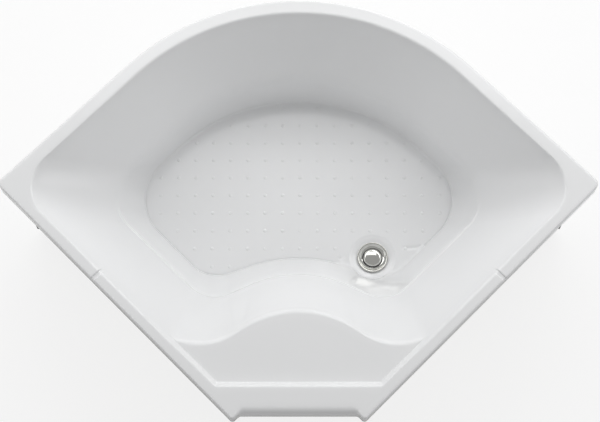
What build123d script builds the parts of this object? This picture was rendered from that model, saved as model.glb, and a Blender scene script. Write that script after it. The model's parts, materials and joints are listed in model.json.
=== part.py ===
from build123d import *
from math import atan2, cos, degrees, radians, sin, sqrt, tan
import os

os.makedirs("parts", exist_ok=True)

# Plan of the rim, in millimetres
WALL_SIDE = 900.0            # each wall side, measured to the room corner
FRONT_RADIUS = 525.0         # curved front edge
TIP_RADIUS = 16.0            # rounding of the two wing tips
EAR_HALF = 134.0             # from the middle to each ear's corner at the cut-off room corner
EAR_LENGTH = 13.5            # how far the ears stand behind the back edge
EAR_RADIUS = 7.0
EAR_ROOT_RADIUS = 10.0
LIP_CORNER = 4.0             # inside corner of the rim's lip at the wing tips

# Rim and basin heights
FLOOR_Z = 145.0              # standing floor above the bathroom floor
BASIN_DEPTH = 275.0          # rim above the standing floor
WELL_HEIGHT = 110.0          # bend between the well and the upper walls, above the standing floor
SEAT_DROP = 15.0             # seat below the rim
LIP_HEIGHT = 35.0            # turned-down edge of the rim

# Rim widths and the corners of its inner edge
RIM_FREE = 31.0              # rim along the curved front and the free sides
RIM_WALL = 24.0              # rim along the wall sides
RIM_BACK = 57.0              # rim behind the seat
RIM_TIP_RADIUS = 90.0        # curve at each wing, on the inner edge and at the foot of the riser
TIP_STRAIGHT = 5.0           # least straight run left between the front curve and a wing's curve
SEAT_CORNER_RADIUS = 8.0
FREE_DRAFT = 22.0            # slope of the riser round the seat and rim, degrees from vertical
WALL_DRAFT = 33.0

# Seat edge, at the height of the seat
SEAT_LOBE_X = 206.0
SEAT_BULGE = 69.0            # how far the middle of the seat comes forward
SEAT_LOBE_RADIUS = 137.0
SEAT_FLANK_RADIUS = 40.0
SEAT_STRAIGHT = 12.0

# Bend between the upper walls and the well
WELL_FRONT = 121.0           # in from the front edge
WELL_FREE = 124.4            # in from the free sides
WELL_WALL = 157.2            # in from the wall sides
WELL_TIP_RADIUS = 94.0
WELL_LOBE_X = 180.2
WELL_BULGE = 50.5
WELL_LOBE_RADIUS = 68.3
WELL_FLANK_RADIUS = 81.2
WELL_STRAIGHT = 53.5         # between a lobe and the bulge

# Edge of the standing floor
FLOOR_FRONT = 133.0
FLOOR_FREE = 134.0
FLOOR_WALL = 208.0
FLOOR_TIP_RADIUS = 112.0
FLOOR_LOBE_X = 182.0
FLOOR_BULGE = 39.5
FLOOR_LOBE_RADIUS = 80.0
FLOOR_FLANK_RADIUS = 77.0
FLOOR_STRAIGHT = 50.0
FLANK_TURN = 25.0            # degrees turned by each flank arc before its lobe

# Walls of the moulding
SHELL_WALL = 5.0             # acrylic rim, seat and floor
SHELL_SIDE = 6.0             # acrylic basin walls, measured level
GLASS_WALL = 3.0             # glass fibre behind the acrylic
RIM_ROUND = 4.5              # rounding of the rim's outer edge
BACK_ROUND = 15.0            # larger rounding of the back edge between the ears
NOTCH_FROM_TIP = 296.0       # drain notch in each wall side, from the wing tip
NOTCH_WIDTH = 8.5
NOTCH_DEPTH = 3.0

# Dish and hole for the waste
WASTE_FROM_LOBE = 16.0       # waste's axis nearer the middle than the left lobe's
WASTE_BEHIND_LOBE = 37.6
DISH_DEPTH = 4.0
DISH_FLAT = 38.0
DISH_RADIUS = 50.0
DISH_DRAFT = 15.0            # slope of the scallop that the dish leaves in the well wall
DISH_RISE = 30.0
WASTE_HOLE = 29.0

# Boards and blocks bonded to the moulding
FLOOR_BOARD = 16.0
FLOOR_BOARD_INSET = 12.0
BOARD_OPENING = 75.0         # round hole in the floor board for the waste
FLOOR_SCREW_NEAR = 80.0      # board screws along the cross rail, from its middle
FLOOR_SCREW_END = 98.1       # outer board screws, in from the floor's ends
FLOOR_SCREW_FRONT = 81.0     # front board screw, in from the floor's front edge
FLOOR_SCREW_MID = 75.0       # board screws in front of and behind the cross rail
FLOOR_SCREW_REAR = 55.0
SEAT_BOARD = 15.0
SEAT_BOARD_WIDTH = 270.0
SEAT_BOARD_LENGTH = 60.0
WING_BLOCK_X = 20.0
WING_BLOCK_Y = 40.0
WING_BLOCK_HEIGHT = 18.0
APRON_BLOCK_LENGTH = 50.0
APRON_BLOCK_THICK = 11.0
APRON_BLOCK_ANGLE = 24.0     # between neighbouring blocks round the front
APRON_BLOCKS = 4
APRON_BLOCK_GAP = 0.2

# Curved front panel
APRON_GAP = 0.5              # behind the rim's lip
APRON_WALL = 4.0
APRON_TOP_GAP = 0.5
APRON_FLOOR_GAP = 12.0
APRON_RETURN = 4.5           # bottom edge turned in behind the panel
APRON_END = 38.0             # straight ends, in from the wall sides

# Steel under-frame
TUBE = 25.0
TUBE_WALL = 1.5
CROSS_RAIL_Y = -8.0          # cross rail, from the line through the wing tips
WING_POST_IN = 56.4          # wing posts, in from the corner that the wall and front lines make
WING_FOOT_IN = 48.0          # wing feet, in from their posts along the cross rail
RAIL_OVERHANG = 14.0         # tube past its last foot or post
FRONT_FOOT_IN = 168.9        # front foot, in from the front edge
REAR_FOOT_X = 110.0
REAR_RAIL_IN = 128.9         # rear rail, in from the back edge
POST_PLATE = 3.0
POST_PLATE_LENGTH = 40.0     # foot plate inboard of a post's middle
POST_CAP_WIDTH = 40.0
BOLT_INBOARD = 26.0
END_CAP = 3.0                # head of a plastic tube plug
END_CAP_PLUG = 7.0
END_CAP_CLEARANCE = 0.1

# Fasteners
M8_SHANK = 4.0
M8_HEAD_FLATS = 13.0
M8_HEAD_HEIGHT = 5.3
M8_LENGTH = 16.0
WOOD_SHANK = 2.25
WOOD_HEAD = 3.5
WOOD_HEAD_HEIGHT = 2.5
WOOD_BITE = 11.0             # screw length inside a board or block
CAP_SCREW_Y = 16.25          # screws of a post's top plate, from its middle
HOLE_CLEARANCE = 0.3         # round a screw or bolt in steel or acrylic
BITE_CLEARANCE = 0.02        # round a screw in wood

# Levelling feet
SPINDLE = 6.0                # M12 radius
SPINDLE_CLEARANCE = 0.05
SPINDLE_SHORT = 12.0         # spindle end below the top of the frame tube
SPINDLE_HEX = 17.0
SPINDLE_HEX_HEIGHT = 10.0
SPINDLE_HEX_GAP = 2.0        # above the pad
PAD_RADIUS = 20.0
PAD_BASE = 5.0
PAD_NECK = 11.0
PAD_HEIGHT = 16.0
PAD_FLOOR = 4.0              # plastic below the spindle
NUT_FLATS = 19.0
WELD_NUT_HEIGHT = 10.0
LOCK_NUT_HEIGHT = 7.0
TUBE_HOLE_CLEARANCE = 0.5

# Brackets that hold the front panel
BRACKET = 3.0
BRACKET_OVERLAP = 60.0       # front bracket along the side of its tube
BRACKET_GAP = 0.3            # behind the curved panel
BRACKET_SCREW = 2.4
BRACKET_SCREW_HEAD = 4.5
BRACKET_SCREW_HEAD_HEIGHT = 2.5
BRACKET_SCREW_REACH = 8.0
BRACKET_DROP = 50.0          # front bracket tab below the tube
SIDE_BRACKET_LEAF = 30.0
SIDE_BRACKET_HEIGHT = 40.0
SIDE_BRACKET_RISE = 21.0     # side brackets above the posts' foot plates
FRONT_SCREW_DROP = 30.0      # front panel screw below the tube
PANEL_SCREW = 2.0
PANEL_SCREW_IN = 16.0        # side screws, in from the panel's ends
PANEL_SCREW_HEAD = 4.5
PANEL_SCREW_HEAD_HEIGHT = 2.5
PANEL_SCREW_REACH = 11.0
COVER_RADIUS = 7.5
COVER_WALL = 1.2
COVER_GAP = 0.4

# Waste fitting
FLANGE_RADIUS = 35.0
FLANGE_SEAL = 1.5
FLANGE_LIP = 3.0
FLANGE_EDGE = 1.5            # rounding of the lip
FLANGE_NECK = 28.5
FLANGE_NECK_DEPTH = 5.5
FLANGE_CONE = 3.5            # height of the cone from the neck to the tail
FLANGE_SLOPE_OUT = 31.5
FLANGE_SLOPE_IN = 22.5
FLANGE_SLOPE_DROP = 5.7
THROAT = 20.0
TAIL = 23.0
TAIL_LENGTH = 37.0           # tail below the dish
UNDER_SEAL = 3.0
UNDER_SEAL_RADIUS = 36.0
SEAL_CLEARANCE = 0.1
BACK_NUT_FLATS = 62.0
BACK_NUT_HEIGHT = 8.0
THREAD_CLEARANCE = 0.05
BRIDGE_RISE = 8.0            # cross bars above the tail's end
BRIDGE_HEIGHT = 4.0
BRIDGE_WIDTH = 4.0
HUB_RADIUS = 9.5

# Click plug
PLUG_RADIUS = 20.5
PLUG_EDGE = 1.2
PLUG_DOME = 3.6
PLUG_GAP = 0.3
PLUG_SEAL_RADIUS = 22.3
PLUG_SEAL_INNER = 14.0
PLUG_SEAL_HEIGHT = 1.0
STEM_DISC = 13.7
STEM_DISC_DROP = 0.6
STEM = 4.0
STEM_CLEARANCE = 0.05
STEM_LENGTH = 19.1           # below the cap
CARTRIDGE = 7.5
CARTRIDGE_HEIGHT = 15.0      # above the cross bars
CARTRIDGE_THREAD = 6.0
CARTRIDGE_THREAD_LENGTH = 6.0
CARTRIDGE_FLOOR = 2.5        # closed lower end
SPRING_WIRE = 0.45
SPRING_RADIUS = 2.9
SPRING_TURNS = 5
SPRING_GAP = 0.1

# Trap
NECK_OVERLAP = 6.0           # trap's neck above the end of the waste's tail
NECK_WALL = 5.0
NECK_CLEARANCE = 0.4
DIP_RIM_HEIGHT = 3.0         # between the tail's end and the step in the neck
LEDGE_BORE = 21.3
DIP_WALL = 2.0
DIP_RADIUS = 19.0            # inside of the dip tube
DIP_RIM = 23.2
DIP_LENGTH = 45.0
TRAP_RADIUS = 45.0
TRAP_WALL = 2.5
NECK_HEIGHT = 11.0
TRAP_HEIGHT = 61.0
CUP_OVERLAP = 11.0           # screw cup up round the trap body
CUP_DEPTH = 12.0             # screw cup below the trap body
CUP_WALL = 2.5
CUP_CLEARANCE = 0.1
CUP_SEAL = 2.0
INLET_NUT_RADIUS = 34.0
INLET_NUT_HEIGHT = 14.0
INLET_NUT_LIP = 3.0
INLET_WASHER = 3.0
NUT_LUGS = 8
NUT_LUG_WIDTH = 6.0
NUT_LUG_HEIGHT = 2.5
OUTLET_DROP = 25.0           # outlet's axis below the top of the trap body
PIPE = 20.0                  # outside of the outlet pipe, 40 mm across
PIPE_WALL = 2.2
PIPE_CLEARANCE = 0.05
SPIGOT_WALL = 3.0
SPIGOT_LENGTH = 34.0
OUTLET_NUT_RADIUS = 29.0
OUTLET_NUT_LENGTH = 22.0
OUTLET_NUT_LIP = 3.0
OUTLET_WASHER = 4.0
OUTLET_WASHER_RADIUS = 24.0
PIPE_IN = 26.0               # elbow pipe inside the spigot
PIPE_OUT = 14.0              # straight pipe between the nut and the bend
BEND_RADIUS = 34.0
SOCKET_LENGTH = 34.0
SOCKET_BORE = 20.2
SOCKET_WALL = 3.0

ROOT2 = sqrt(2)
HALF = WALL_SIDE / ROOT2
ARC_CENTRE_Y = ROOT2 * FRONT_RADIUS - HALF
FRONT_Y = ARC_CENTRE_Y - FRONT_RADIUS
BACK_Y = HALF - EAR_HALF - EAR_LENGTH
EAR_TIP_Y = HALF - EAR_HALF - EAR_RADIUS * (ROOT2 - 1)
PLAN_Y = -(FRONT_Y + EAR_TIP_Y) / 2

RIM_TOP = FLOOR_Z + BASIN_DEPTH
SEAT_Z = RIM_TOP - SEAT_DROP
WELL_Z = FLOOR_Z + WELL_HEIGHT
FLANGE_Z = RIM_TOP - SHELL_WALL
BACKED_SIDE = SHELL_SIDE + GLASS_WALL
BACKED_WALL = SHELL_WALL + GLASS_WALL
SEAT_FREE = RIM_FREE + SEAT_DROP * tan(radians(FREE_DRAFT))
SEAT_WALL = RIM_WALL + SEAT_DROP * tan(radians(WALL_DRAFT))
SEAT_BACK = RIM_BACK + SEAT_DROP * tan(radians(WALL_DRAFT))
BOARD_TOP = FLOOR_Z - BACKED_WALL
TUBE_TOP = BOARD_TOP - FLOOR_BOARD
TUBE_BOTTOM = TUBE_TOP - TUBE
SEAT_BOARD_TOP = SEAT_Z - BACKED_WALL
DISH_Z = FLOOR_Z - DISH_DEPTH
BACK_FILL = BACK_ROUND - SHELL_WALL
BACK_ROOT_X = EAR_HALF - EAR_LENGTH - EAR_ROOT_RADIUS * (ROOT2 - 1)
WING_POST_X = HALF - WING_POST_IN
WING_FOOT_X = WING_POST_X - WING_FOOT_IN
FRONT_FOOT_Y = FRONT_Y + FRONT_FOOT_IN
REAR_RAIL_Y = BACK_Y - REAR_RAIL_IN
TUBE_MID = TUBE_BOTTOM + TUBE / 2
TUBE_BORE = TUBE - 2 * TUBE_WALL
RAIL_END_X = WING_POST_X + RAIL_OVERHANG
REAR_END_X = REAR_FOOT_X + RAIL_OVERHANG
CROSS_FRONT_Y = CROSS_RAIL_Y - TUBE / 2
CROSS_REAR_Y = CROSS_RAIL_Y + TUBE / 2
FRONT_RAIL_END_Y = FRONT_FOOT_Y - RAIL_OVERHANG
BACK_SECTION = Plane(origin=(0, PLAN_Y, 0), x_dir=(0, 1, 0), z_dir=(1, 0, 0))
APRON_FRONT = SHELL_WALL + APRON_GAP
APRON_BACK = APRON_FRONT + APRON_WALL
BRACKET_FACE_Y = FRONT_Y + APRON_BACK + BRACKET_GAP
BRACKET_END_Y = FRONT_RAIL_END_Y + BRACKET_OVERLAP
SIDE_BRACKET_Z = TUBE_TOP + POST_PLATE + SIDE_BRACKET_RISE
FRONT_SCREW_Z = TUBE_BOTTOM - FRONT_SCREW_DROP
WELD_NUT_Z = TUBE_BOTTOM - WELD_NUT_HEIGHT
LOCK_NUT_Z = WELD_NUT_Z - LOCK_NUT_HEIGHT
FLANGE_SEAT_Z = DISH_Z + FLANGE_SEAL
SLOPE_TOP_Z = FLANGE_SEAT_Z + FLANGE_LIP
THROAT_Z = SLOPE_TOP_Z - FLANGE_SLOPE_DROP
PLUG_Z = THROAT_Z + PLUG_GAP + PLUG_SEAL_HEIGHT
STEM_END = PLUG_Z - STEM_LENGTH
TAIL_END = DISH_Z - TAIL_LENGTH
BRIDGE_Z = TAIL_END + BRIDGE_RISE
BRIDGE_TOP = BRIDGE_Z + BRIDGE_HEIGHT
CARTRIDGE_END = BRIDGE_TOP - CARTRIDGE_THREAD_LENGTH
SPRING_SEAT = CARTRIDGE_END + CARTRIDGE_FLOOR
NECK_TOP = TAIL_END + NECK_OVERLAP
LEDGE_Z = TAIL_END - DIP_RIM_HEIGHT
DIP_END = LEDGE_Z - DIP_LENGTH
TRAP_TOP = NECK_TOP - NECK_HEIGHT
TRAP_BOTTOM = TRAP_TOP - TRAP_HEIGHT
CUP_TOP = TRAP_BOTTOM + CUP_OVERLAP
CUP_BOTTOM = TRAP_BOTTOM - CUP_DEPTH
OUTLET_Z = TRAP_TOP - OUTLET_DROP
UNDER_SEAL_Z = DISH_Z - BACKED_WALL - UNDER_SEAL
BACK_NUT_Z = UNDER_SEAL_Z - BACK_NUT_HEIGHT
NECK_BORE = TAIL + NECK_CLEARANCE
NECK_RADIUS = NECK_BORE + NECK_WALL
SPIGOT_BORE = PIPE + PIPE_CLEARANCE
SPIGOT_RADIUS = SPIGOT_BORE + SPIGOT_WALL
SPIGOT_END = TRAP_RADIUS + SPIGOT_LENGTH
BEND_START = SPIGOT_END + OUTLET_WASHER + OUTLET_NUT_LIP + PIPE_OUT
SIDES = ((-1, "left"), (1, "right"))
UP = (Align.CENTER, Align.CENTER, Align.MIN)
FEET = {
    "front": (0, FRONT_FOOT_Y),
    "left": (-WING_FOOT_X, CROSS_RAIL_Y),
    "right": (WING_FOOT_X, CROSS_RAIL_Y),
    "rear_left": (-REAR_FOOT_X, REAR_RAIL_Y),
    "rear_right": (REAR_FOOT_X, REAR_RAIL_Y),
}
POSTS = {
    "wing_post": (WING_POST_X, CROSS_RAIL_Y, FLANGE_Z - WING_BLOCK_HEIGHT),
    "seat_post": (REAR_FOOT_X, REAR_RAIL_Y, SEAT_BOARD_TOP - SEAT_BOARD),
}


def wing_curve(front_in, free_in, wall_in, tip_radius):
    """Middle and radius of the curve at a wing, and radius of the front curve it has to leave room for."""
    apex = FRONT_Y + front_in
    free_line, wall_line = HALF - ROOT2 * free_in, HALF - ROOT2 * wall_in
    front_radius = (free_line + apex) / (ROOT2 - 1)
    corner_x = (free_line + wall_line) / 2
    radius = min(tip_radius, ROOT2 * corner_x - front_radius - TIP_STRAIGHT)
    return (corner_x - ROOT2 * radius, (wall_line - free_line) / 2), radius, front_radius


def lobe_middle(wall_in, lobe_x, lobe_radius, flank_radius):
    """Distance of a lobe's middle behind the wing tips, from the wall side it runs into."""
    flank_gap = ROOT2 * flank_radius * (1 - cos(radians(FLANK_TURN)))
    turned = radians(45 + FLANK_TURN)
    end_x = lobe_x + lobe_radius * cos(turned)
    return HALF - ROOT2 * wall_in - flank_gap - end_x - lobe_radius * sin(turned)


WASTE_X = WASTE_FROM_LOBE - FLOOR_LOBE_X
WASTE_Y = WASTE_BEHIND_LOBE + lobe_middle(FLOOR_WALL, FLOOR_LOBE_X, FLOOR_LOBE_RADIUS, FLOOR_FLANK_RADIUS)
FLOOR_WING, FLOOR_WING_RADIUS, _ = wing_curve(FLOOR_FRONT, FLOOR_FREE, FLOOR_WALL, FLOOR_TIP_RADIUS)
FLOOR_SCREW_FAR = FLOOR_WING[0] + FLOOR_WING_RADIUS - FLOOR_SCREW_END
CROSS_SCREW_X = (-FLOOR_SCREW_FAR, -FLOOR_SCREW_NEAR, FLOOR_SCREW_NEAR, FLOOR_SCREW_FAR)
CROSS_SCREWS = [(x, CROSS_RAIL_Y) for x in CROSS_SCREW_X]
FRONT_SCREWS = [(0, FRONT_Y + FLOOR_FRONT + FLOOR_SCREW_FRONT), (0, -FLOOR_SCREW_MID)]
REAR_SCREWS = [(0, FLOOR_SCREW_REAR)]


def plan(z):
    """Level plane whose origin lies midway between the wing tips."""
    return Plane((0, PLAN_Y, z))


def spot(x, y, z):
    """Point of the model over a plan point."""
    return (x, y + PLAN_Y, z)


def waste_section():
    """Upright plane through the waste's axis, for profiles that are turned about it."""
    return Plane(origin=spot(WASTE_X, WASTE_Y, 0), x_dir=(1, 0, 0), z_dir=(0, -1, 0))


def waste_axis():
    return Axis(spot(WASTE_X, WASTE_Y, 0), (0, 0, 1))


def outlet_plane(distance):
    """Upright plane across the trap's outlet, at a distance from the waste's axis."""
    return Plane(origin=spot(WASTE_X, WASTE_Y + distance, OUTLET_Z), x_dir=(-1, 0, 0), z_dir=(0, 1, 0))


def cap_screws(x, y):
    """Plan points of the two screws in a post's top plate."""
    return [(x, y - CAP_SCREW_Y), (x, y + CAP_SCREW_Y)]


def post_points():
    """Side, plan point and height of each post."""
    return [(side, side * x, y, top) for x, y, top in POSTS.values() for side, _ in SIDES]


def finish(part, name):
    """Labels a finished piece and writes it."""
    part.label = name
    export_step(part, "parts/" + name + ".step")


def draw_rim(inset, tip_radius):
    """Outer edge of the rim, moved in by an inset."""
    turn = (FRONT_RADIUS - inset) / ROOT2
    ear_line = 2 * EAR_HALF - HALF + ROOT2 * inset
    back = BACK_Y - inset
    with BuildLine() as outline:
        CenterArc((0, ARC_CENTRE_Y), FRONT_RADIUS - inset, -90, 45)
        FilletPolyline(
            (turn, ARC_CENTRE_Y - turn),
            (HALF - ROOT2 * inset, 0),
            (EAR_HALF, HALF - EAR_HALF - ROOT2 * inset),
            (ear_line + back, back),
            (0, back),
            radius=[tip_radius, EAR_RADIUS - inset, EAR_ROOT_RADIUS + inset],
        )
        mirror(about=Plane.YZ)
    make_face(outline.edges())


def draw_plain(front_in, free_in, wall_in, back_in, tip_radius, corner_radius):
    """Basin outline above the seat, with its straight back."""
    _, wing_radius, radius = wing_curve(front_in, free_in, wall_in, tip_radius)
    apex = FRONT_Y + front_in
    turn = radius / ROOT2
    free_line, wall_line = HALF - ROOT2 * free_in, HALF - ROOT2 * wall_in
    back = BACK_Y - back_in
    with BuildLine() as outline:
        CenterArc((0, apex + radius), radius, -90, 45)
        FilletPolyline(
            (turn, apex + radius - turn),
            ((free_line + wall_line) / 2, (wall_line - free_line) / 2),
            (wall_line - back, back),
            (0, back),
            radius=[wing_radius, corner_radius],
        )
        mirror(about=Plane.YZ)
    make_face(outline.edges())


def draw_wavy(front_in, free_in, wall_in, tip_radius, lobe_x, bulge, lobe_radius, flank_radius, straight):
    """Basin outline below the seat: two lobes at the back and a bulge between them."""
    tip, wing_radius, radius = wing_curve(front_in, free_in, wall_in, tip_radius)
    apex = FRONT_Y + front_in
    turned = radians(45 + FLANK_TURN)
    lobe_y = lobe_middle(wall_in, lobe_x, lobe_radius, flank_radius)
    shift = flank_radius - lobe_radius
    flank = (lobe_x - shift * cos(turned), lobe_y - shift * sin(turned))
    arcs = (lobe_x**2 + bulge**2 - straight**2) / (2 * bulge)
    rise = bulge - arcs
    slope = atan2(arcs * lobe_x + straight * rise, straight * lobe_x - arcs * rise)
    bulge_radius = arcs - lobe_radius
    bulge_y = lobe_y + lobe_radius - bulge + bulge_radius
    with BuildLine() as outline:
        front = CenterArc((0, apex + radius), radius, -90, 45)
        wing = CenterArc(tip, wing_radius, -45, 90)
        side = CenterArc(flank, flank_radius, 45, FLANK_TURN)
        lobe_turn = degrees(radians(90) - turned + slope)
        lobe = CenterArc((lobe_x, lobe_y), lobe_radius, degrees(turned), lobe_turn)
        middle = CenterArc((0, bulge_y), bulge_radius, 270 + degrees(slope), -degrees(slope))
        Line(front @ 1, wing @ 0)
        Line(wing @ 1, side @ 0)
        Line(lobe @ 1, middle @ 0)
        mirror(about=Plane.YZ)
    make_face(outline.edges())


def draw_floor(grow):
    """Edge of the standing floor, let out by a wall."""
    draw_wavy(
        FLOOR_FRONT - grow, FLOOR_FREE - grow, FLOOR_WALL - grow, FLOOR_TIP_RADIUS + grow,
        FLOOR_LOBE_X, FLOOR_BULGE, FLOOR_LOBE_RADIUS + grow, FLOOR_FLANK_RADIUS + grow, FLOOR_STRAIGHT,
    )


def basin_solid(grow, drop):
    """Space of the basin and its waste dish, let out by a wall beside and below."""
    with BuildPart() as basin:
        with BuildSketch(plan(RIM_TOP)):
            draw_plain(
                RIM_FREE - grow, RIM_FREE - grow, RIM_WALL - grow, RIM_BACK - grow,
                RIM_TIP_RADIUS + grow, SEAT_CORNER_RADIUS + grow,
            )
        with BuildSketch(plan(SEAT_Z - drop)):
            draw_plain(
                SEAT_FREE - grow, SEAT_FREE - grow, SEAT_WALL - grow, SEAT_BACK - grow,
                RIM_TIP_RADIUS + grow, SEAT_CORNER_RADIUS + grow,
            )
        loft(ruled=True)
        with BuildSketch(plan(SEAT_Z)):
            draw_wavy(
                SEAT_FREE - grow, SEAT_FREE - grow, SEAT_WALL - grow, RIM_TIP_RADIUS + grow,
                SEAT_LOBE_X, SEAT_BULGE, SEAT_LOBE_RADIUS + grow, SEAT_FLANK_RADIUS + grow, SEAT_STRAIGHT,
            )
        with BuildSketch(plan(WELL_Z)):
            draw_wavy(
                WELL_FRONT - grow, WELL_FREE - grow, WELL_WALL - grow, WELL_TIP_RADIUS + grow,
                WELL_LOBE_X, WELL_BULGE, WELL_LOBE_RADIUS + grow, WELL_FLANK_RADIUS + grow, WELL_STRAIGHT,
            )
        loft(ruled=True)
        with BuildSketch(plan(WELL_Z)):
            draw_wavy(
                WELL_FRONT - grow, WELL_FREE - grow, WELL_WALL - grow, WELL_TIP_RADIUS + grow,
                WELL_LOBE_X, WELL_BULGE, WELL_LOBE_RADIUS + grow, WELL_FLANK_RADIUS + grow, WELL_STRAIGHT,
            )
        with BuildSketch(plan(FLOOR_Z)):
            draw_floor(grow)
        loft(ruled=True)
        if drop:
            with BuildSketch(plan(FLOOR_Z - drop)):
                draw_floor(grow)
            extrude(amount=drop)
        with BuildSketch(waste_section()):
            with BuildLine():
                Polyline(
                    (0, DISH_Z - drop),
                    (DISH_FLAT + grow, DISH_Z - drop),
                    (DISH_RADIUS + grow, FLOOR_Z - drop),
                    (DISH_RADIUS + grow + (DISH_RISE + drop) * tan(radians(DISH_DRAFT)), FLOOR_Z + DISH_RISE),
                    (0, FLOOR_Z + DISH_RISE),
                    close=True,
                )
            make_face()
        revolve(axis=waste_axis())
    return basin.part


def draw_band(outer, inner):
    """Strip that follows the curved front and the free sides, between two insets from the rim's edge."""
    ends = [(HALF - (inset + APRON_END) / ROOT2, (inset - APRON_END) / ROOT2) for inset in (outer, inner)]
    with BuildLine() as outline:
        outside = CenterArc((0, ARC_CENTRE_Y), FRONT_RADIUS - outer, -90, 45)
        inside = CenterArc((0, ARC_CENTRE_Y), FRONT_RADIUS - inner, -90, 45)
        Polyline(outside @ 1, *ends, inside @ 1)
        mirror(about=Plane.YZ)
    make_face(outline.edges())


def panel_fixings():
    """Point on the front panel's outer face and outward direction of each of its screws."""
    from_wall = APRON_END + PANEL_SCREW_IN
    side_x = HALF - (from_wall + APRON_FRONT) / ROOT2
    side_y = (APRON_FRONT - from_wall) / ROOT2
    fixings = [(spot(0, FRONT_Y + APRON_FRONT, FRONT_SCREW_Z), (0, -1, 0))]
    for side, _ in SIDES:
        place = spot(side * side_x, side_y, SIDE_BRACKET_Z + SIDE_BRACKET_HEIGHT / 2)
        fixings.append((place, (side, -1, 0)))
    return fixings


def bracket_fixings():
    """Point on a bracket and outward direction of each screw that holds a bracket to the frame."""
    fixings = [
        (spot(TUBE / 2 + BRACKET, FRONT_RAIL_END_Y + BRACKET_OVERLAP * share, TUBE_MID), (1, 0, 0))
        for share in (1 / 4, 3 / 4)
    ]
    for side, _ in SIDES:
        place = spot(side * WING_POST_X, CROSS_FRONT_Y - BRACKET, SIDE_BRACKET_Z + SIDE_BRACKET_HEIGHT / 2)
        fixings.append((place, (0, -1, 0)))
    return fixings


def cut_screw_holes(fixings, radius, reach):
    """Drills the holes of a set of screws, inward from the faces under their heads."""
    for point, outward in fixings:
        with BuildSketch(Plane(origin=point, z_dir=outward)) as hole:
            Circle(radius)
        extrude(hole.sketch, amount=-reach, mode=Mode.SUBTRACT)


def draw_pan_screw(point, outward, shank, reach, head, head_height):
    """Screw whose head stands on a face at a point."""
    face = Plane(origin=point, z_dir=outward)
    with BuildSketch(face) as head_outline:
        Circle(head)
    extrude(head_outline.sketch, amount=head_height)
    with BuildSketch(face) as shank_outline:
        Circle(shank)
    extrude(shank_outline.sketch, amount=-reach)


def draw_wood_screws(points, face, through):
    """Screws with their heads under a face, through a plate or tube and into the wood above it."""
    with BuildSketch(plan(face - WOOD_HEAD_HEIGHT)) as heads:
        with Locations(*points):
            Circle(WOOD_HEAD)
    extrude(heads.sketch, amount=WOOD_HEAD_HEIGHT)
    with BuildSketch(plan(face)) as shanks:
        with Locations(*points):
            Circle(WOOD_SHANK)
    extrude(shanks.sketch, amount=through + WOOD_BITE)


def draw_lugged(x, y, radius):
    """Round outline with grip lugs for a hand-tightened nut."""
    with Locations((x, y)):
        Circle(radius)
        with PolarLocations(radius, NUT_LUGS):
            Rectangle(2 * NUT_LUG_HEIGHT, NUT_LUG_WIDTH)


def draw_pipe():
    Circle(PIPE)
    Circle(PIPE - PIPE_WALL, mode=Mode.SUBTRACT)


def make_ring(name, inner, outer, level, height):
    """Flat ring round the waste's axis, as a finished piece."""
    with BuildPart() as ring:
        with BuildSketch(plan(level)):
            with Locations((WASTE_X, WASTE_Y)):
                Circle(outer)
                Circle(inner, mode=Mode.SUBTRACT)
        extrude(amount=height)
    finish(ring.part, name)


basin_space = basin_solid(0, 0)
acrylic_outside = basin_solid(SHELL_SIDE, SHELL_WALL)
glass_outside = basin_solid(BACKED_SIDE, BACKED_WALL)

# Hollow under the rim, behind its turned-down lip
with BuildPart() as rim_hollow:
    with BuildSketch(plan(RIM_TOP - LIP_HEIGHT)):
        draw_rim(SHELL_WALL, LIP_CORNER)
    extrude(amount=LIP_HEIGHT - SHELL_WALL)
    with BuildSketch(BACK_SECTION):
        with BuildLine():
            Polyline(
                (BACK_Y - SHELL_WALL, FLANGE_Z - BACK_FILL),
                (BACK_Y - SHELL_WALL, FLANGE_Z),
                (BACK_Y - SHELL_WALL - BACK_FILL, FLANGE_Z),
                close=True,
            )
        make_face()
    extrude(amount=EAR_HALF, both=True, mode=Mode.SUBTRACT)

# Acrylic moulding: rim, seat, walls and standing floor in one piece
with BuildPart() as tray_shell:
    with BuildSketch(plan(RIM_TOP - LIP_HEIGHT)):
        draw_rim(0, TIP_RADIUS)
    extrude(amount=LIP_HEIGHT)
    fillet(tray_shell.faces().sort_by(Axis.Z)[-1].edges(), radius=RIM_ROUND)
    with BuildSketch(BACK_SECTION):
        with Locations((BACK_Y, RIM_TOP)):
            Rectangle(2 * BACK_ROUND, 2 * BACK_ROUND)
        with Locations((BACK_Y - BACK_ROUND, RIM_TOP - BACK_ROUND)):
            Circle(BACK_ROUND, mode=Mode.SUBTRACT)
        with Locations((BACK_Y - BACK_ROUND, RIM_TOP)):
            Rectangle(4 * BACK_ROUND, 4 * BACK_ROUND, align=(Align.MAX, Align.CENTER), mode=Mode.SUBTRACT)
        with Locations((BACK_Y, RIM_TOP - BACK_ROUND)):
            Rectangle(4 * BACK_ROUND, 4 * BACK_ROUND, align=(Align.CENTER, Align.MAX), mode=Mode.SUBTRACT)
    extrude(amount=BACK_ROOT_X, both=True, mode=Mode.SUBTRACT)
    add(rim_hollow.part, mode=Mode.SUBTRACT)
    add(acrylic_outside)
    add(basin_space, mode=Mode.SUBTRACT)
    with Locations(spot(WASTE_X, WASTE_Y, DISH_Z)):
        Cylinder(WASTE_HOLE, DISH_DEPTH + 2 * SHELL_WALL, mode=Mode.SUBTRACT)
    for side, _ in SIDES:
        along = NOTCH_FROM_TIP / ROOT2
        middle = spot(side * (HALF - along), along, RIM_TOP)
        with Locations(Location(middle, (0, 0, 90 - side * 45))):
            Box(2 * (RIM_WALL + NOTCH_DEPTH), NOTCH_WIDTH, 2 * NOTCH_DEPTH, mode=Mode.SUBTRACT)
finish(tray_shell.part, "tray_shell")

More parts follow.
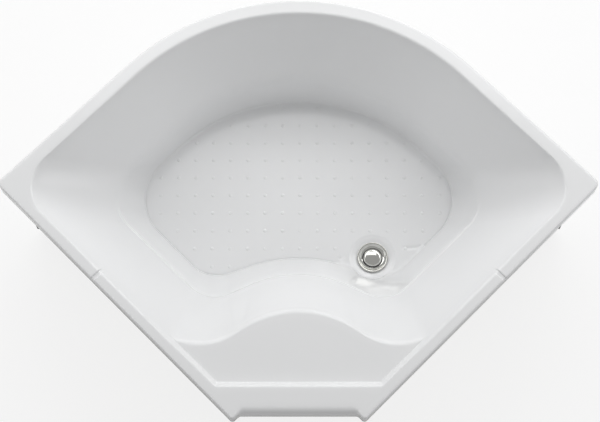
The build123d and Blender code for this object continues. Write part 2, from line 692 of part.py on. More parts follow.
# Glass fibre layer sprayed on the back of the moulding
with BuildPart() as glass_layer:
    add(glass_outside)
    add(acrylic_outside, mode=Mode.SUBTRACT)
    split(bisect_by=plan(FLANGE_Z), keep=Keep.BOTTOM)
    with Locations(spot(WASTE_X, WASTE_Y, DISH_Z)):
        Cylinder(WASTE_HOLE, 4 * BACKED_WALL, mode=Mode.SUBTRACT)
finish(glass_layer.part, "glass_fibre_layer")

# Chipboard bonded under the standing floor
with BuildPart() as floor_board:
    with BuildSketch(plan(TUBE_TOP)):
        draw_floor(-FLOOR_BOARD_INSET)
        with Locations((WASTE_X, WASTE_Y)):
            Circle(BOARD_OPENING, mode=Mode.SUBTRACT)
        with Locations(*CROSS_SCREWS, *FRONT_SCREWS, *REAR_SCREWS):
            Circle(WOOD_SHANK + BITE_CLEARANCE, mode=Mode.SUBTRACT)
    extrude(amount=FLOOR_BOARD)
finish(floor_board.part, "floor_board")

# Chipboard bonded under the seat
with BuildPart() as seat_board:
    with BuildSketch(plan(SEAT_BOARD_TOP - SEAT_BOARD)):
        with Locations((0, REAR_RAIL_Y)):
            Rectangle(SEAT_BOARD_WIDTH, SEAT_BOARD_LENGTH)
        for side in (-1, 1):
            with Locations(*cap_screws(side * REAR_FOOT_X, REAR_RAIL_Y)):
                Circle(WOOD_SHANK + BITE_CLEARANCE, mode=Mode.SUBTRACT)
    extrude(amount=SEAT_BOARD)
finish(seat_board.part, "seat_board")

# Timber blocks bonded into the wing corners under the rim
for side, name in SIDES:
    with BuildPart() as wing_block:
        with BuildSketch(plan(FLANGE_Z - WING_BLOCK_HEIGHT)):
            with Locations((side * WING_POST_X, CROSS_RAIL_Y)):
                Rectangle(WING_BLOCK_X, WING_BLOCK_Y)
            with Locations(*cap_screws(side * WING_POST_X, CROSS_RAIL_Y)):
                Circle(WOOD_SHANK + BITE_CLEARANCE, mode=Mode.SUBTRACT)
        extrude(amount=WING_BLOCK_HEIGHT)
    finish(wing_block.part, "wing_block_" + name)

# Timber blocks bonded under the front rim, which steady the panel's top edge
with BuildPart() as apron_blocks:
    for index in range(APRON_BLOCKS):
        angle = APRON_BLOCK_ANGLE * (index - (APRON_BLOCKS - 1) / 2) - 90
        block_radius = FRONT_RADIUS - APRON_BACK - APRON_BLOCK_GAP
        with BuildSketch(plan(FLANGE_Z - WING_BLOCK_HEIGHT)):
            with Locations(Location((0, ARC_CENTRE_Y), angle)):
                with Locations((block_radius, 0)):
                    Rectangle(APRON_BLOCK_THICK, APRON_BLOCK_LENGTH, align=(Align.MAX, Align.CENTER))
            with Locations((0, ARC_CENTRE_Y)):
                Circle(block_radius, mode=Mode.INTERSECT)
        extrude(amount=WING_BLOCK_HEIGHT)
finish(apron_blocks.part, "apron_blocks")

# Curved front panel, clipped up behind the lip and turned in at its bottom edge
with BuildPart() as apron:
    with BuildSketch(plan(APRON_FLOOR_GAP)):
        draw_band(APRON_FRONT, APRON_BACK)
    extrude(amount=FLANGE_Z - APRON_TOP_GAP - APRON_FLOOR_GAP)
    with BuildSketch(plan(APRON_FLOOR_GAP)):
        draw_band(APRON_BACK, APRON_BACK + APRON_RETURN)
    extrude(amount=APRON_WALL)
    cut_screw_holes(panel_fixings(), PANEL_SCREW + HOLE_CLEARANCE, 2 * APRON_WALL)
finish(apron.part, "front_panel")

# Steel tubes under the board: one from wing to wing, one each way along the middle, one under the seat
RAILS = {
    "cross_rail": (spot(-RAIL_END_X, CROSS_RAIL_Y, TUBE_MID), (1, 0, 0), 2 * RAIL_END_X, CROSS_SCREWS),
    "front_rail": (
        spot(0, CROSS_FRONT_Y, TUBE_MID), (0, -1, 0), CROSS_FRONT_Y - FRONT_RAIL_END_Y, FRONT_SCREWS
    ),
    "middle_rail": (
        spot(0, CROSS_REAR_Y, TUBE_MID), (0, 1, 0), REAR_RAIL_Y - TUBE / 2 - CROSS_REAR_Y, REAR_SCREWS
    ),
    "rear_rail": (spot(-REAR_END_X, REAR_RAIL_Y, TUBE_MID), (1, 0, 0), 2 * REAR_END_X, []),
}
for name, (start, along, length, screws) in RAILS.items():
    with BuildPart() as rail:
        with BuildSketch(Plane(origin=start, x_dir=(0, 0, 1), z_dir=along)):
            Rectangle(TUBE, TUBE)
            Rectangle(TUBE_BORE, TUBE_BORE, mode=Mode.SUBTRACT)
        extrude(amount=length)
        with BuildSketch(plan(TUBE_BOTTOM)):
            with Locations(*FEET.values()):
                Circle(SPINDLE + TUBE_HOLE_CLEARANCE)
        extrude(amount=TUBE / 2, mode=Mode.SUBTRACT)
        with BuildSketch(plan(TUBE_MID)):
            with Locations(*[(x - side * BOLT_INBOARD, y) for side, x, y, _ in post_points()]):
                Circle(M8_SHANK + BITE_CLEARANCE)
        extrude(amount=TUBE, mode=Mode.SUBTRACT)
        if screws:
            with BuildSketch(plan(TUBE_BOTTOM)):
                with Locations(*screws):
                    Circle(WOOD_SHANK + HOLE_CLEARANCE)
            extrude(amount=TUBE, mode=Mode.SUBTRACT)
        cut_screw_holes(bracket_fixings(), BRACKET_SCREW + BITE_CLEARANCE, BRACKET_SCREW_REACH)
    finish(rail.part, name)

# Posts that carry the wings of the rim and the seat, with a foot plate and a top plate welded on
for name, (post_x, post_y, post_top) in POSTS.items():
    for side, side_name in SIDES:
        middle = (side * post_x, post_y)
        with BuildPart() as post:
            with BuildSketch(plan(TUBE_TOP)):
                with Locations((middle[0] + side * TUBE / 2, post_y)):
                    Rectangle(
                        POST_PLATE_LENGTH + TUBE / 2, TUBE,
                        align=(Align.MAX if side > 0 else Align.MIN, Align.CENTER),
                    )
                with Locations((middle[0] - side * BOLT_INBOARD, post_y)):
                    Circle(M8_SHANK + HOLE_CLEARANCE, mode=Mode.SUBTRACT)
            extrude(amount=POST_PLATE)
            with BuildSketch(plan(TUBE_TOP + POST_PLATE)):
                with Locations(middle):
                    Rectangle(TUBE, TUBE)
                    Rectangle(TUBE_BORE, TUBE_BORE, mode=Mode.SUBTRACT)
            extrude(amount=post_top - TUBE_TOP - 2 * POST_PLATE)
            with BuildSketch(plan(post_top - POST_PLATE)):
                with Locations(middle):
                    Rectangle(TUBE, POST_CAP_WIDTH)
                with Locations(*cap_screws(*middle)):
                    Circle(WOOD_SHANK + HOLE_CLEARANCE, mode=Mode.SUBTRACT)
            extrude(amount=POST_PLATE)
            cut_screw_holes(bracket_fixings(), BRACKET_SCREW + BITE_CLEARANCE, BRACKET_SCREW_REACH)
        finish(post.part, name + "_" + side_name)

# Bolts through the posts' foot plates
with BuildPart() as post_bolts:
    for side, x, y, _ in post_points():
        with BuildSketch(plan(TUBE_TOP + POST_PLATE)):
            with Locations((x - side * BOLT_INBOARD, y)):
                RegularPolygon(M8_HEAD_FLATS / 2, 6, major_radius=False)
        extrude(amount=M8_HEAD_HEIGHT)
        with BuildSketch(plan(TUBE_TOP + POST_PLATE)):
            with Locations((x - side * BOLT_INBOARD, y)):
                Circle(M8_SHANK)
        extrude(amount=-M8_LENGTH)
finish(post_bolts.part, "post_bolts")

# Wood screws up through the posts' top plates
with BuildPart() as post_screws:
    for _, x, y, top in post_points():
        draw_wood_screws(cap_screws(x, y), top - POST_PLATE, POST_PLATE)
finish(post_screws.part, "post_screws")

# Wood screws up through the tubes into the floor board
with BuildPart() as board_screws:
    draw_wood_screws([*CROSS_SCREWS, *FRONT_SCREWS, *REAR_SCREWS], TUBE_BOTTOM, TUBE)
finish(board_screws.part, "board_screws")

# Plastic plugs in the open tube ends
with BuildPart() as end_caps:
    for end, outward in (
        (spot(-RAIL_END_X, CROSS_RAIL_Y, TUBE_MID), (-1, 0, 0)),
        (spot(RAIL_END_X, CROSS_RAIL_Y, TUBE_MID), (1, 0, 0)),
        (spot(0, FRONT_RAIL_END_Y, TUBE_MID), (0, -1, 0)),
        (spot(-REAR_END_X, REAR_RAIL_Y, TUBE_MID), (-1, 0, 0)),
        (spot(REAR_END_X, REAR_RAIL_Y, TUBE_MID), (1, 0, 0)),
    ):
        end_plane = Plane(origin=end, x_dir=(0, 0, 1), z_dir=outward)
        with BuildSketch(end_plane):
            Rectangle(TUBE, TUBE)
        extrude(amount=END_CAP)
        with BuildSketch(end_plane):
            Rectangle(TUBE_BORE - 2 * END_CAP_CLEARANCE, TUBE_BORE - 2 * END_CAP_CLEARANCE)
        extrude(amount=-END_CAP_PLUG)
finish(end_caps.part, "tube_end_caps")

# Nuts welded under the tubes, and the lock nuts below them
for name, height, level in (
    ("weld_nuts", WELD_NUT_HEIGHT, WELD_NUT_Z),
    ("lock_nuts", LOCK_NUT_HEIGHT, LOCK_NUT_Z),
):
    with BuildPart() as nuts:
        with BuildSketch(plan(level)):
            with Locations(*FEET.values()):
                RegularPolygon(NUT_FLATS / 2, 6, major_radius=False)
                Circle(SPINDLE + SPINDLE_CLEARANCE, mode=Mode.SUBTRACT)
        extrude(amount=height)
    finish(nuts.part, name)

# Levelling feet: a threaded spindle that turns in a plastic pad
for name, (x, y) in FEET.items():
    with BuildPart() as pad:
        with BuildSketch(Plane(origin=spot(x, y, 0), x_dir=(1, 0, 0), z_dir=(0, -1, 0))):
            with BuildLine():
                Polyline(
                    (0, 0),
                    (PAD_RADIUS, 0),
                    (PAD_RADIUS, PAD_BASE),
                    (PAD_NECK, PAD_HEIGHT),
                    (SPINDLE + SPINDLE_CLEARANCE, PAD_HEIGHT),
                    (SPINDLE + SPINDLE_CLEARANCE, PAD_FLOOR),
                    (0, PAD_FLOOR),
                    close=True,
                )
            make_face()
        revolve(axis=Axis(spot(x, y, 0), (0, 0, 1)))
    finish(pad.part, "foot_pad_" + name)
    with BuildPart() as spindle:
        with Locations(spot(x, y, PAD_FLOOR)):
            Cylinder(SPINDLE, TUBE_TOP - SPINDLE_SHORT - PAD_FLOOR, align=UP)
        with BuildSketch(plan(PAD_HEIGHT + SPINDLE_HEX_GAP)):
            with Locations((x, y)):
                RegularPolygon(SPINDLE_HEX / 2, 6, major_radius=False)
        extrude(amount=SPINDLE_HEX_HEIGHT)
    finish(spindle.part, "foot_spindle_" + name)

# Bracket from the front rail to the middle of the front panel
with BuildPart() as front_bracket:
    with BuildSketch(plan(TUBE_BOTTOM)):
        with Locations((TUBE / 2, BRACKET_FACE_Y)):
            Rectangle(BRACKET, BRACKET_END_Y - BRACKET_FACE_Y, align=(Align.MIN, Align.MIN))
    extrude(amount=TUBE)
    with BuildSketch(plan(TUBE_BOTTOM - BRACKET_DROP)):
        with Locations((TUBE / 2 + BRACKET, BRACKET_FACE_Y)):
            Rectangle(TUBE + BRACKET, BRACKET, align=(Align.MAX, Align.MIN))
    extrude(amount=TUBE + BRACKET_DROP)
    cut_screw_holes(panel_fixings(), PANEL_SCREW + BITE_CLEARANCE, PANEL_SCREW_REACH)
    cut_screw_holes(bracket_fixings(), BRACKET_SCREW + HOLE_CLEARANCE, BRACKET)
finish(front_bracket.part, "panel_bracket_front")

# Bent brackets from the wing posts to the straight ends of the front panel
for side, name in SIDES:
    outer = (HALF - ROOT2 * APRON_BACK + CROSS_FRONT_Y, CROSS_FRONT_Y)
    leaf = SIDE_BRACKET_LEAF / ROOT2
    thick = BRACKET / ROOT2
    with BuildPart() as side_bracket:
        with BuildSketch(plan(SIDE_BRACKET_Z)):
            with BuildLine():
                Polyline(
                    (side * (WING_POST_X - TUBE / 2), CROSS_FRONT_Y),
                    (side * outer[0], outer[1]),
                    (side * (outer[0] - leaf), outer[1] - leaf),
                    (side * (outer[0] - leaf - thick), outer[1] - leaf + thick),
                    (side * (outer[0] - ROOT2 * BRACKET - BRACKET), outer[1] - BRACKET),
                    (side * (WING_POST_X - TUBE / 2), CROSS_FRONT_Y - BRACKET),
                    close=True,
                )
            make_face()
        extrude(amount=SIDE_BRACKET_HEIGHT)
        cut_screw_holes(panel_fixings(), PANEL_SCREW + BITE_CLEARANCE, PANEL_SCREW_REACH)
        cut_screw_holes(bracket_fixings(), BRACKET_SCREW + HOLE_CLEARANCE, BRACKET)
    finish(side_bracket.part, "panel_bracket_" + name)

# Screws that hold the brackets to the frame
with BuildPart() as bracket_screws:
    for point, outward in bracket_fixings():
        draw_pan_screw(
            point, outward, BRACKET_SCREW, BRACKET_SCREW_REACH, BRACKET_SCREW_HEAD, BRACKET_SCREW_HEAD_HEIGHT
        )
finish(bracket_screws.part, "bracket_screws")

# Screws through the front panel, and the snap-on covers over their heads
with BuildPart() as panel_screws:
    for point, outward in panel_fixings():
        draw_pan_screw(
            point, outward, PANEL_SCREW, PANEL_SCREW_REACH, PANEL_SCREW_HEAD, PANEL_SCREW_HEAD_HEIGHT
        )
finish(panel_screws.part, "panel_screws")
with BuildPart() as covers:
    for point, outward in panel_fixings():
        cover_plane = Plane(origin=point, z_dir=outward)
        with BuildSketch(cover_plane):
            Circle(COVER_RADIUS)
        extrude(amount=PANEL_SCREW_HEAD_HEIGHT + COVER_GAP + COVER_WALL)
        with BuildSketch(cover_plane):
            Circle(COVER_RADIUS - COVER_WALL)
        extrude(amount=PANEL_SCREW_HEAD_HEIGHT + COVER_GAP, mode=Mode.SUBTRACT)
finish(covers.part, "panel_screw_covers")

# Chromed waste with its flange, tail and the cross bars that hold the click cartridge
with BuildPart() as waste:
    with BuildSketch(waste_section()):
        with BuildLine():
            Polyline(
                (THROAT, TAIL_END),
                (TAIL, TAIL_END),
                (TAIL, FLANGE_SEAT_Z - FLANGE_NECK_DEPTH - FLANGE_CONE),
                (FLANGE_NECK, FLANGE_SEAT_Z - FLANGE_NECK_DEPTH),
                (FLANGE_NECK, FLANGE_SEAT_Z),
                (FLANGE_RADIUS, FLANGE_SEAT_Z),
                (FLANGE_RADIUS, SLOPE_TOP_Z),
                (FLANGE_SLOPE_OUT, SLOPE_TOP_Z),
                (FLANGE_SLOPE_IN, THROAT_Z),
                (THROAT, THROAT_Z),
                close=True,
            )
        make_face()
    revolve(axis=waste_axis())
    flange_edge = waste.edges().filter_by(GeomType.CIRCLE).group_by(Axis.Z)[-1].sort_by(SortBy.RADIUS)[-1]
    fillet(flange_edge, radius=FLANGE_EDGE)
    with Locations(spot(WASTE_X, WASTE_Y, BRIDGE_Z)):
        Box(THROAT + TAIL, BRIDGE_WIDTH, BRIDGE_HEIGHT, align=UP)
        Box(BRIDGE_WIDTH, THROAT + TAIL, BRIDGE_HEIGHT, align=UP)
        Cylinder(HUB_RADIUS, BRIDGE_HEIGHT, align=UP)
        Cylinder(CARTRIDGE_THREAD + THREAD_CLEARANCE, BRIDGE_HEIGHT, align=UP, mode=Mode.SUBTRACT)
finish(waste.part, "waste_flange")

# Seals above and below the tray floor, and the nut that clamps them
make_ring("flange_seal", WASTE_HOLE, FLANGE_RADIUS, DISH_Z, FLANGE_SEAL)
make_ring("under_seal", TAIL + SEAL_CLEARANCE, UNDER_SEAL_RADIUS, UNDER_SEAL_Z, UNDER_SEAL)
with BuildPart() as back_nut:
    with BuildSketch(plan(BACK_NUT_Z)):
        with Locations((WASTE_X, WASTE_Y)):
            RegularPolygon(BACK_NUT_FLATS / 2, 6, major_radius=False)
            Circle(TAIL + THREAD_CLEARANCE, mode=Mode.SUBTRACT)
    extrude(amount=BACK_NUT_HEIGHT)
finish(back_nut.part, "back_nut")

# Click plug: domed cap, seal ring and stem, which rise together
with BuildPart() as plug_cap:
    with BuildSketch(waste_section()):
        with BuildLine():
            Polyline((0, PLUG_Z + PLUG_EDGE + PLUG_DOME), (0, PLUG_Z), (PLUG_RADIUS, PLUG_Z))
            Line((PLUG_RADIUS, PLUG_Z), (PLUG_RADIUS, PLUG_Z + PLUG_EDGE))
            RadiusArc(
                (0, PLUG_Z + PLUG_EDGE + PLUG_DOME),
                (PLUG_RADIUS, PLUG_Z + PLUG_EDGE),
                (PLUG_RADIUS**2 + PLUG_DOME**2) / (2 * PLUG_DOME),
            )
        make_face()
    revolve(axis=waste_axis())
finish(plug_cap.part, "plug_cap")
make_ring("plug_seal", PLUG_SEAL_INNER, PLUG_SEAL_RADIUS, PLUG_Z - PLUG_SEAL_HEIGHT, PLUG_SEAL_HEIGHT)
with BuildPart() as plug_stem:
    with Locations(spot(WASTE_X, WASTE_Y, STEM_END)):
        Cylinder(STEM, PLUG_Z - STEM_END, align=UP)
    with Locations(spot(WASTE_X, WASTE_Y, PLUG_Z - PLUG_SEAL_HEIGHT - STEM_DISC_DROP)):
        Cylinder(STEM_DISC, PLUG_SEAL_HEIGHT + STEM_DISC_DROP, align=UP)
finish(plug_stem.part, "plug_stem")

# Click cartridge screwed into the cross bars, with its spring
with BuildPart() as cartridge:
    with Locations(spot(WASTE_X, WASTE_Y, CARTRIDGE_END)):
        Cylinder(CARTRIDGE_THREAD, CARTRIDGE_THREAD_LENGTH, align=UP)
    with Locations(spot(WASTE_X, WASTE_Y, BRIDGE_TOP)):
        Cylinder(CARTRIDGE, CARTRIDGE_HEIGHT, align=UP)
    with Locations(spot(WASTE_X, WASTE_Y, SPRING_SEAT)):
        Cylinder(
            STEM + STEM_CLEARANCE, BRIDGE_TOP + CARTRIDGE_HEIGHT - SPRING_SEAT, align=UP, mode=Mode.SUBTRACT
        )
finish(cartridge.part, "click_cartridge")
with BuildPart() as spring:
    spring_height = STEM_END - SPRING_SEAT - 2 * SPRING_GAP - 2 * SPRING_WIRE
    with BuildLine():
        coil = Helix(
            pitch=spring_height / SPRING_TURNS,
            height=spring_height,
            radius=SPRING_RADIUS,
            center=spot(WASTE_X, WASTE_Y, SPRING_SEAT + SPRING_GAP + SPRING_WIRE),
        )
    with BuildSketch(Plane(origin=coil @ 0, z_dir=coil % 0)):
        Circle(SPRING_WIRE)
    sweep(is_frenet=True)
finish(spring.part, "plug_spring")

# Trap: inlet nut and washer, body with its outlet spigot, dip tube, and a screw-off cup
make_ring("inlet_washer", TAIL + SEAL_CLEARANCE, NECK_RADIUS, NECK_TOP, INLET_WASHER)
with BuildPart() as inlet_nut:
    top = NECK_TOP + INLET_WASHER + INLET_NUT_LIP
    with BuildSketch(plan(top - INLET_NUT_HEIGHT)):
        draw_lugged(WASTE_X, WASTE_Y, INLET_NUT_RADIUS)
    extrude(amount=INLET_NUT_HEIGHT)
    with Locations(spot(WASTE_X, WASTE_Y, top - INLET_NUT_HEIGHT)):
        Cylinder(
            NECK_RADIUS + THREAD_CLEARANCE, INLET_NUT_HEIGHT - INLET_NUT_LIP, align=UP, mode=Mode.SUBTRACT
        )
        Cylinder(TAIL + SEAL_CLEARANCE, INLET_NUT_HEIGHT, align=UP, mode=Mode.SUBTRACT)
finish(inlet_nut.part, "inlet_nut")
with BuildPart() as trap_body:
    with Locations(spot(WASTE_X, WASTE_Y, TRAP_BOTTOM)):
        Cylinder(TRAP_RADIUS, TRAP_TOP - TRAP_BOTTOM, align=UP)
    with Locations(spot(WASTE_X, WASTE_Y, TRAP_TOP)):
        Cylinder(NECK_RADIUS, NECK_TOP - TRAP_TOP, align=UP)
    with BuildSketch(outlet_plane(0)):
        Circle(SPIGOT_RADIUS)
    extrude(amount=SPIGOT_END)
    with Locations(spot(WASTE_X, WASTE_Y, TRAP_BOTTOM)):
        Cylinder(
            TRAP_RADIUS - TRAP_WALL, TRAP_TOP - TRAP_WALL - TRAP_BOTTOM, align=UP, mode=Mode.SUBTRACT
        )
        Cylinder(LEDGE_BORE, NECK_TOP - TRAP_BOTTOM, align=UP, mode=Mode.SUBTRACT)
    with Locations(spot(WASTE_X, WASTE_Y, LEDGE_Z)):
        Cylinder(NECK_BORE, NECK_TOP - LEDGE_Z, align=UP, mode=Mode.SUBTRACT)
    with BuildSketch(outlet_plane(0)):
        Circle(SPIGOT_BORE)
    extrude(amount=SPIGOT_END, mode=Mode.SUBTRACT)
finish(trap_body.part, "trap_body")
with BuildPart() as dip_tube:
    with Locations(spot(WASTE_X, WASTE_Y, DIP_END)):
        Cylinder(DIP_RADIUS + DIP_WALL, LEDGE_Z - DIP_END, align=UP)
    with Locations(spot(WASTE_X, WASTE_Y, LEDGE_Z)):
        Cylinder(DIP_RIM, TAIL_END - LEDGE_Z, align=UP)
    with Locations(spot(WASTE_X, WASTE_Y, DIP_END)):
        Cylinder(DIP_RADIUS, TAIL_END - DIP_END, align=UP, mode=Mode.SUBTRACT)
finish(dip_tube.part, "dip_tube")
make_ring("cup_seal", TRAP_RADIUS - TRAP_WALL, TRAP_RADIUS, TRAP_BOTTOM - CUP_SEAL, CUP_SEAL)
with BuildPart() as trap_cup:
    with BuildSketch(plan(CUP_BOTTOM)):
        draw_lugged(WASTE_X, WASTE_Y, TRAP_RADIUS + CUP_CLEARANCE + CUP_WALL)
    extrude(amount=CUP_TOP - CUP_BOTTOM)
    with Locations(spot(WASTE_X, WASTE_Y, CUP_BOTTOM + CUP_WALL)):
        Cylinder(TRAP_RADIUS - TRAP_WALL, CUP_TOP - CUP_BOTTOM, align=UP, mode=Mode.SUBTRACT)
    with Locations(spot(WASTE_X, WASTE_Y, TRAP_BOTTOM - CUP_SEAL)):
        Cylinder(TRAP_RADIUS + CUP_CLEARANCE, CUP_TOP - CUP_BOTTOM, align=UP, mode=Mode.SUBTRACT)
finish(trap_cup.part, "trap_cup")

# Union nut and washer on the outlet, and the elbow that swivels in it
with BuildPart() as outlet_washer:
    with BuildSketch(outlet_plane(SPIGOT_END)):
        Circle(OUTLET_WASHER_RADIUS)
        Circle(SPIGOT_BORE, mode=Mode.SUBTRACT)
    extrude(amount=OUTLET_WASHER)
finish(outlet_washer.part, "outlet_washer")
with BuildPart() as outlet_nut:
    nut_end = SPIGOT_END + OUTLET_WASHER + OUTLET_NUT_LIP
    with BuildSketch(outlet_plane(nut_end - OUTLET_NUT_LENGTH)):
        draw_lugged(0, 0, OUTLET_NUT_RADIUS)
        Circle(SPIGOT_RADIUS + THREAD_CLEARANCE, mode=Mode.SUBTRACT)
    extrude(amount=SPIGOT_END - nut_end + OUTLET_NUT_LENGTH)
    with BuildSketch(outlet_plane(SPIGOT_END)):
        draw_lugged(0, 0, OUTLET_NUT_RADIUS)
        Circle(OUTLET_WASHER_RADIUS + THREAD_CLEARANCE, mode=Mode.SUBTRACT)
    extrude(amount=OUTLET_WASHER)
    with BuildSketch(outlet_plane(SPIGOT_END + OUTLET_WASHER)):
        draw_lugged(0, 0, OUTLET_NUT_RADIUS)
        Circle(SPIGOT_BORE + SEAL_CLEARANCE, mode=Mode.SUBTRACT)
    extrude(amount=OUTLET_NUT_LIP)
finish(outlet_nut.part, "outlet_nut")
with BuildPart() as elbow:
    with BuildSketch(outlet_plane(SPIGOT_END - PIPE_IN)):
        draw_pipe()
    extrude(amount=BEND_START - SPIGOT_END + PIPE_IN)
    with BuildSketch(outlet_plane(BEND_START)):
        draw_pipe()
    revolve(
        axis=Axis(spot(WASTE_X - BEND_RADIUS, WASTE_Y + BEND_START, OUTLET_Z), (0, 0, 1)),
        revolution_arc=90,
    )
    socket_start = spot(WASTE_X - BEND_RADIUS, WASTE_Y + BEND_START + BEND_RADIUS, OUTLET_Z)
    with BuildSketch(Plane(origin=socket_start, x_dir=(0, 1, 0), z_dir=(-1, 0, 0))):
        Circle(SOCKET_BORE + SOCKET_WALL)
        Circle(PIPE - PIPE_WALL, mode=Mode.SUBTRACT)
    extrude(amount=SOCKET_WALL)
    socket_floor = spot(WASTE_X - BEND_RADIUS - SOCKET_WALL, WASTE_Y + BEND_START + BEND_RADIUS, OUTLET_Z)
    with BuildSketch(Plane(origin=socket_floor, x_dir=(0, 1, 0), z_dir=(-1, 0, 0))):
        Circle(SOCKET_BORE + SOCKET_WALL)
        Circle(SOCKET_BORE, mode=Mode.SUBTRACT)
    extrude(amount=SOCKET_LENGTH)
finish(elbow.part, "outlet_elbow")
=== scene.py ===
"""Visual model of a deep corner shower tray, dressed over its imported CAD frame.

The moulding, its grip dots, the front panel, the click waste, the levelling feet and the fasteners are
built here. The other pieces keep their CAD shape and get a finish.
"""

import json
from math import atan2, cos, degrees, hypot, pi, radians, sin, sqrt, tan

import bmesh
import bpy
import numpy as np
from bpy.props import FloatProperty, FloatVectorProperty, IntProperty, PointerProperty
from bpy.types import Operator, Panel, PropertyGroup
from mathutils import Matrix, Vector, noise
from mathutils.bvhtree import BVHTree
from mathutils.geometry import delaunay_2d_cdt


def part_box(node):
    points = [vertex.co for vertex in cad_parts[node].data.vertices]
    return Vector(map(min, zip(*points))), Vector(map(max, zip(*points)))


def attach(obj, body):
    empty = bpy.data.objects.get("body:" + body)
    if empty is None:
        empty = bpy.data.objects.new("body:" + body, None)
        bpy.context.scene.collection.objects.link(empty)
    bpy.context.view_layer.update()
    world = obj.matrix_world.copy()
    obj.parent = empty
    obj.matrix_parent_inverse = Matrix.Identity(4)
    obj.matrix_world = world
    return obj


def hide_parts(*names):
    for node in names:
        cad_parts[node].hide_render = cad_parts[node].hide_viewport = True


bl_info = {
    "name": "Corner Shower Tray",
    "version": (1, 0, 0),
    "blender": (4, 5, 0),
    "location": "3D View > Sidebar > Shower Tray",
    "description": "Builds the looks of a deep corner shower tray round its packed CAD frame",
    "category": "Object",
}

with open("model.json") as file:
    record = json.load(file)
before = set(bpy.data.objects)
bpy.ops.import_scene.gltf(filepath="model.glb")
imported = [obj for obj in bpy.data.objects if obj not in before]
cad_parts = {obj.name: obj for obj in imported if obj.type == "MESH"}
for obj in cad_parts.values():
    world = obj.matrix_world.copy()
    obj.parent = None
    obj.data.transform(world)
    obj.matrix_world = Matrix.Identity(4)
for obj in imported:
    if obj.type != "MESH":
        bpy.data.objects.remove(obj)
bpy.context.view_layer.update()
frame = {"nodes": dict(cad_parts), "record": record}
MM = 1000.0
ROOT2 = sqrt(2)

# Plan of the moulding in millimetres, as in the CAD source
WALL_SIDE, FRONT_RADIUS, TIP_RADIUS = 900.0, 525.0, 16.0
EAR_HALF, EAR_LENGTH, EAR_RADIUS, EAR_ROOT_RADIUS = 134.0, 13.5, 7.0, 10.0
LIP_CORNER = 4.0
RIM_FREE, RIM_WALL, RIM_BACK, RIM_TIP_RADIUS = 31.0, 24.0, 57.0, 90.0
FREE_DRAFT, WALL_DRAFT = 22.0, 33.0
SEAT_CORNER_RADIUS = 8.0
FLANK_TURN = 25.0
SEAT_WAVE = {"lobe_x": 206.0, "bulge": 69.0, "lobe_radius": 137.0, "flank_radius": 40.0, "straight": 12.0}
WELL_WAVE = {"lobe_x": 180.2, "bulge": 50.5, "lobe_radius": 68.3, "flank_radius": 81.2, "straight": 53.5}
FLOOR_WAVE = {"lobe_x": 182.0, "bulge": 39.5, "lobe_radius": 80.0, "flank_radius": 77.0, "straight": 50.0}
WELL_FRONT, WELL_FREE, WELL_WALL, WELL_TIP_RADIUS = 121.0, 124.4, 157.2, 94.0
FLOOR_FRONT, FLOOR_FREE, FLOOR_WALL, FLOOR_TIP_RADIUS = 133.0, 134.0, 208.0, 112.0

# Heights and walls
RIM_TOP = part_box("tray_shell")[1].z * MM
SEAT_Z = RIM_TOP - 15.0
FLOOR_Z = RIM_TOP - 275.0
WELL_Z = FLOOR_Z + 110.0
LIP_HEIGHT, SHELL_WALL, SHELL_SIDE, GLASS_WALL = 35.0, 5.0, 6.0, 3.0
BACK_SIDE, BACK_DROP = SHELL_SIDE - 0.3, SHELL_WALL - 0.2
RIM_ROUND, BACK_ROUND = 4.5, 15.0
NOTCH_FROM_TIP, NOTCH_WIDTH, NOTCH_DEPTH = 296.0, 8.5, 3.0
DISH_DEPTH, DISH_FLAT, DISH_RADIUS, DISH_DRAFT = 4.0, 38.0, 50.0, 15.0
WASTE_HOLE = 29.05
PATCH_RADIUS, CREASE_PATCH = 74.0, 21.0
PANEL_IN, TUBE = SHELL_WALL + 0.5, 25.0

# Where the crease round the floor leaves the floor's edge and runs out towards the waste, as plan points
CREASE_ENDS = (
    ((-303, 39), (-291, 50), (-279, 58), (-263, 62.5), (-247, 63.7), (-229, 63.2)),
    ((-72, 97), (-84, 92.5), (-95, 87), (-108, 80)),
)

HALF = WALL_SIDE / ROOT2
ARC_CENTRE_Y = ROOT2 * FRONT_RADIUS - HALF
FRONT_Y = ARC_CENTRE_Y - FRONT_RADIUS
BACK_Y = HALF - EAR_HALF - EAR_LENGTH
PLAN_Y = -(FRONT_Y + HALF - EAR_HALF - EAR_RADIUS * (ROOT2 - 1)) / 2
SEAT_FREE = RIM_FREE + (RIM_TOP - SEAT_Z) * tan(radians(FREE_DRAFT))
SEAT_WALL = RIM_WALL + (RIM_TOP - SEAT_Z) * tan(radians(WALL_DRAFT))
SEAT_BACK = RIM_BACK + (RIM_TOP - SEAT_Z) * tan(radians(WALL_DRAFT))
FLOOR_MIDDLE = np.array((0.0, -60.0))


def middle_of(node):
    """Plan point, in millimetres from midway between the wing tips, of a CAD node's middle."""
    low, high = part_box(node)
    return np.array(((low.x + high.x) / 2 * MM, (low.y + high.y) / 2 * MM - PLAN_Y))


def heights_of(node):
    """Lowest and highest point of a CAD node, in millimetres."""
    return [corner.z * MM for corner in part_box(node)]


WASTE = middle_of("waste_flange")


# Outlines ---------------------------------------------------------------------------------------


def arc(centre, radius, start, sweep, count):
    """Stations along an arc, without its last point; angles in degrees."""
    angles = np.radians(start + sweep * np.arange(count) / count)
    return np.column_stack((centre[0] + radius * np.cos(angles), centre[1] + radius * np.sin(angles)))


def run(start, end, count):
    """Stations along a straight, without its last point."""
    share = (np.arange(count) / count)[:, None]
    return np.asarray(start) * (1 - share) + np.asarray(end) * share


def along_wall(point):
    """Distance of a plan point along its wall side, from the wing tip."""
    return (HALF - abs(point[0]) + point[1]) / ROOT2


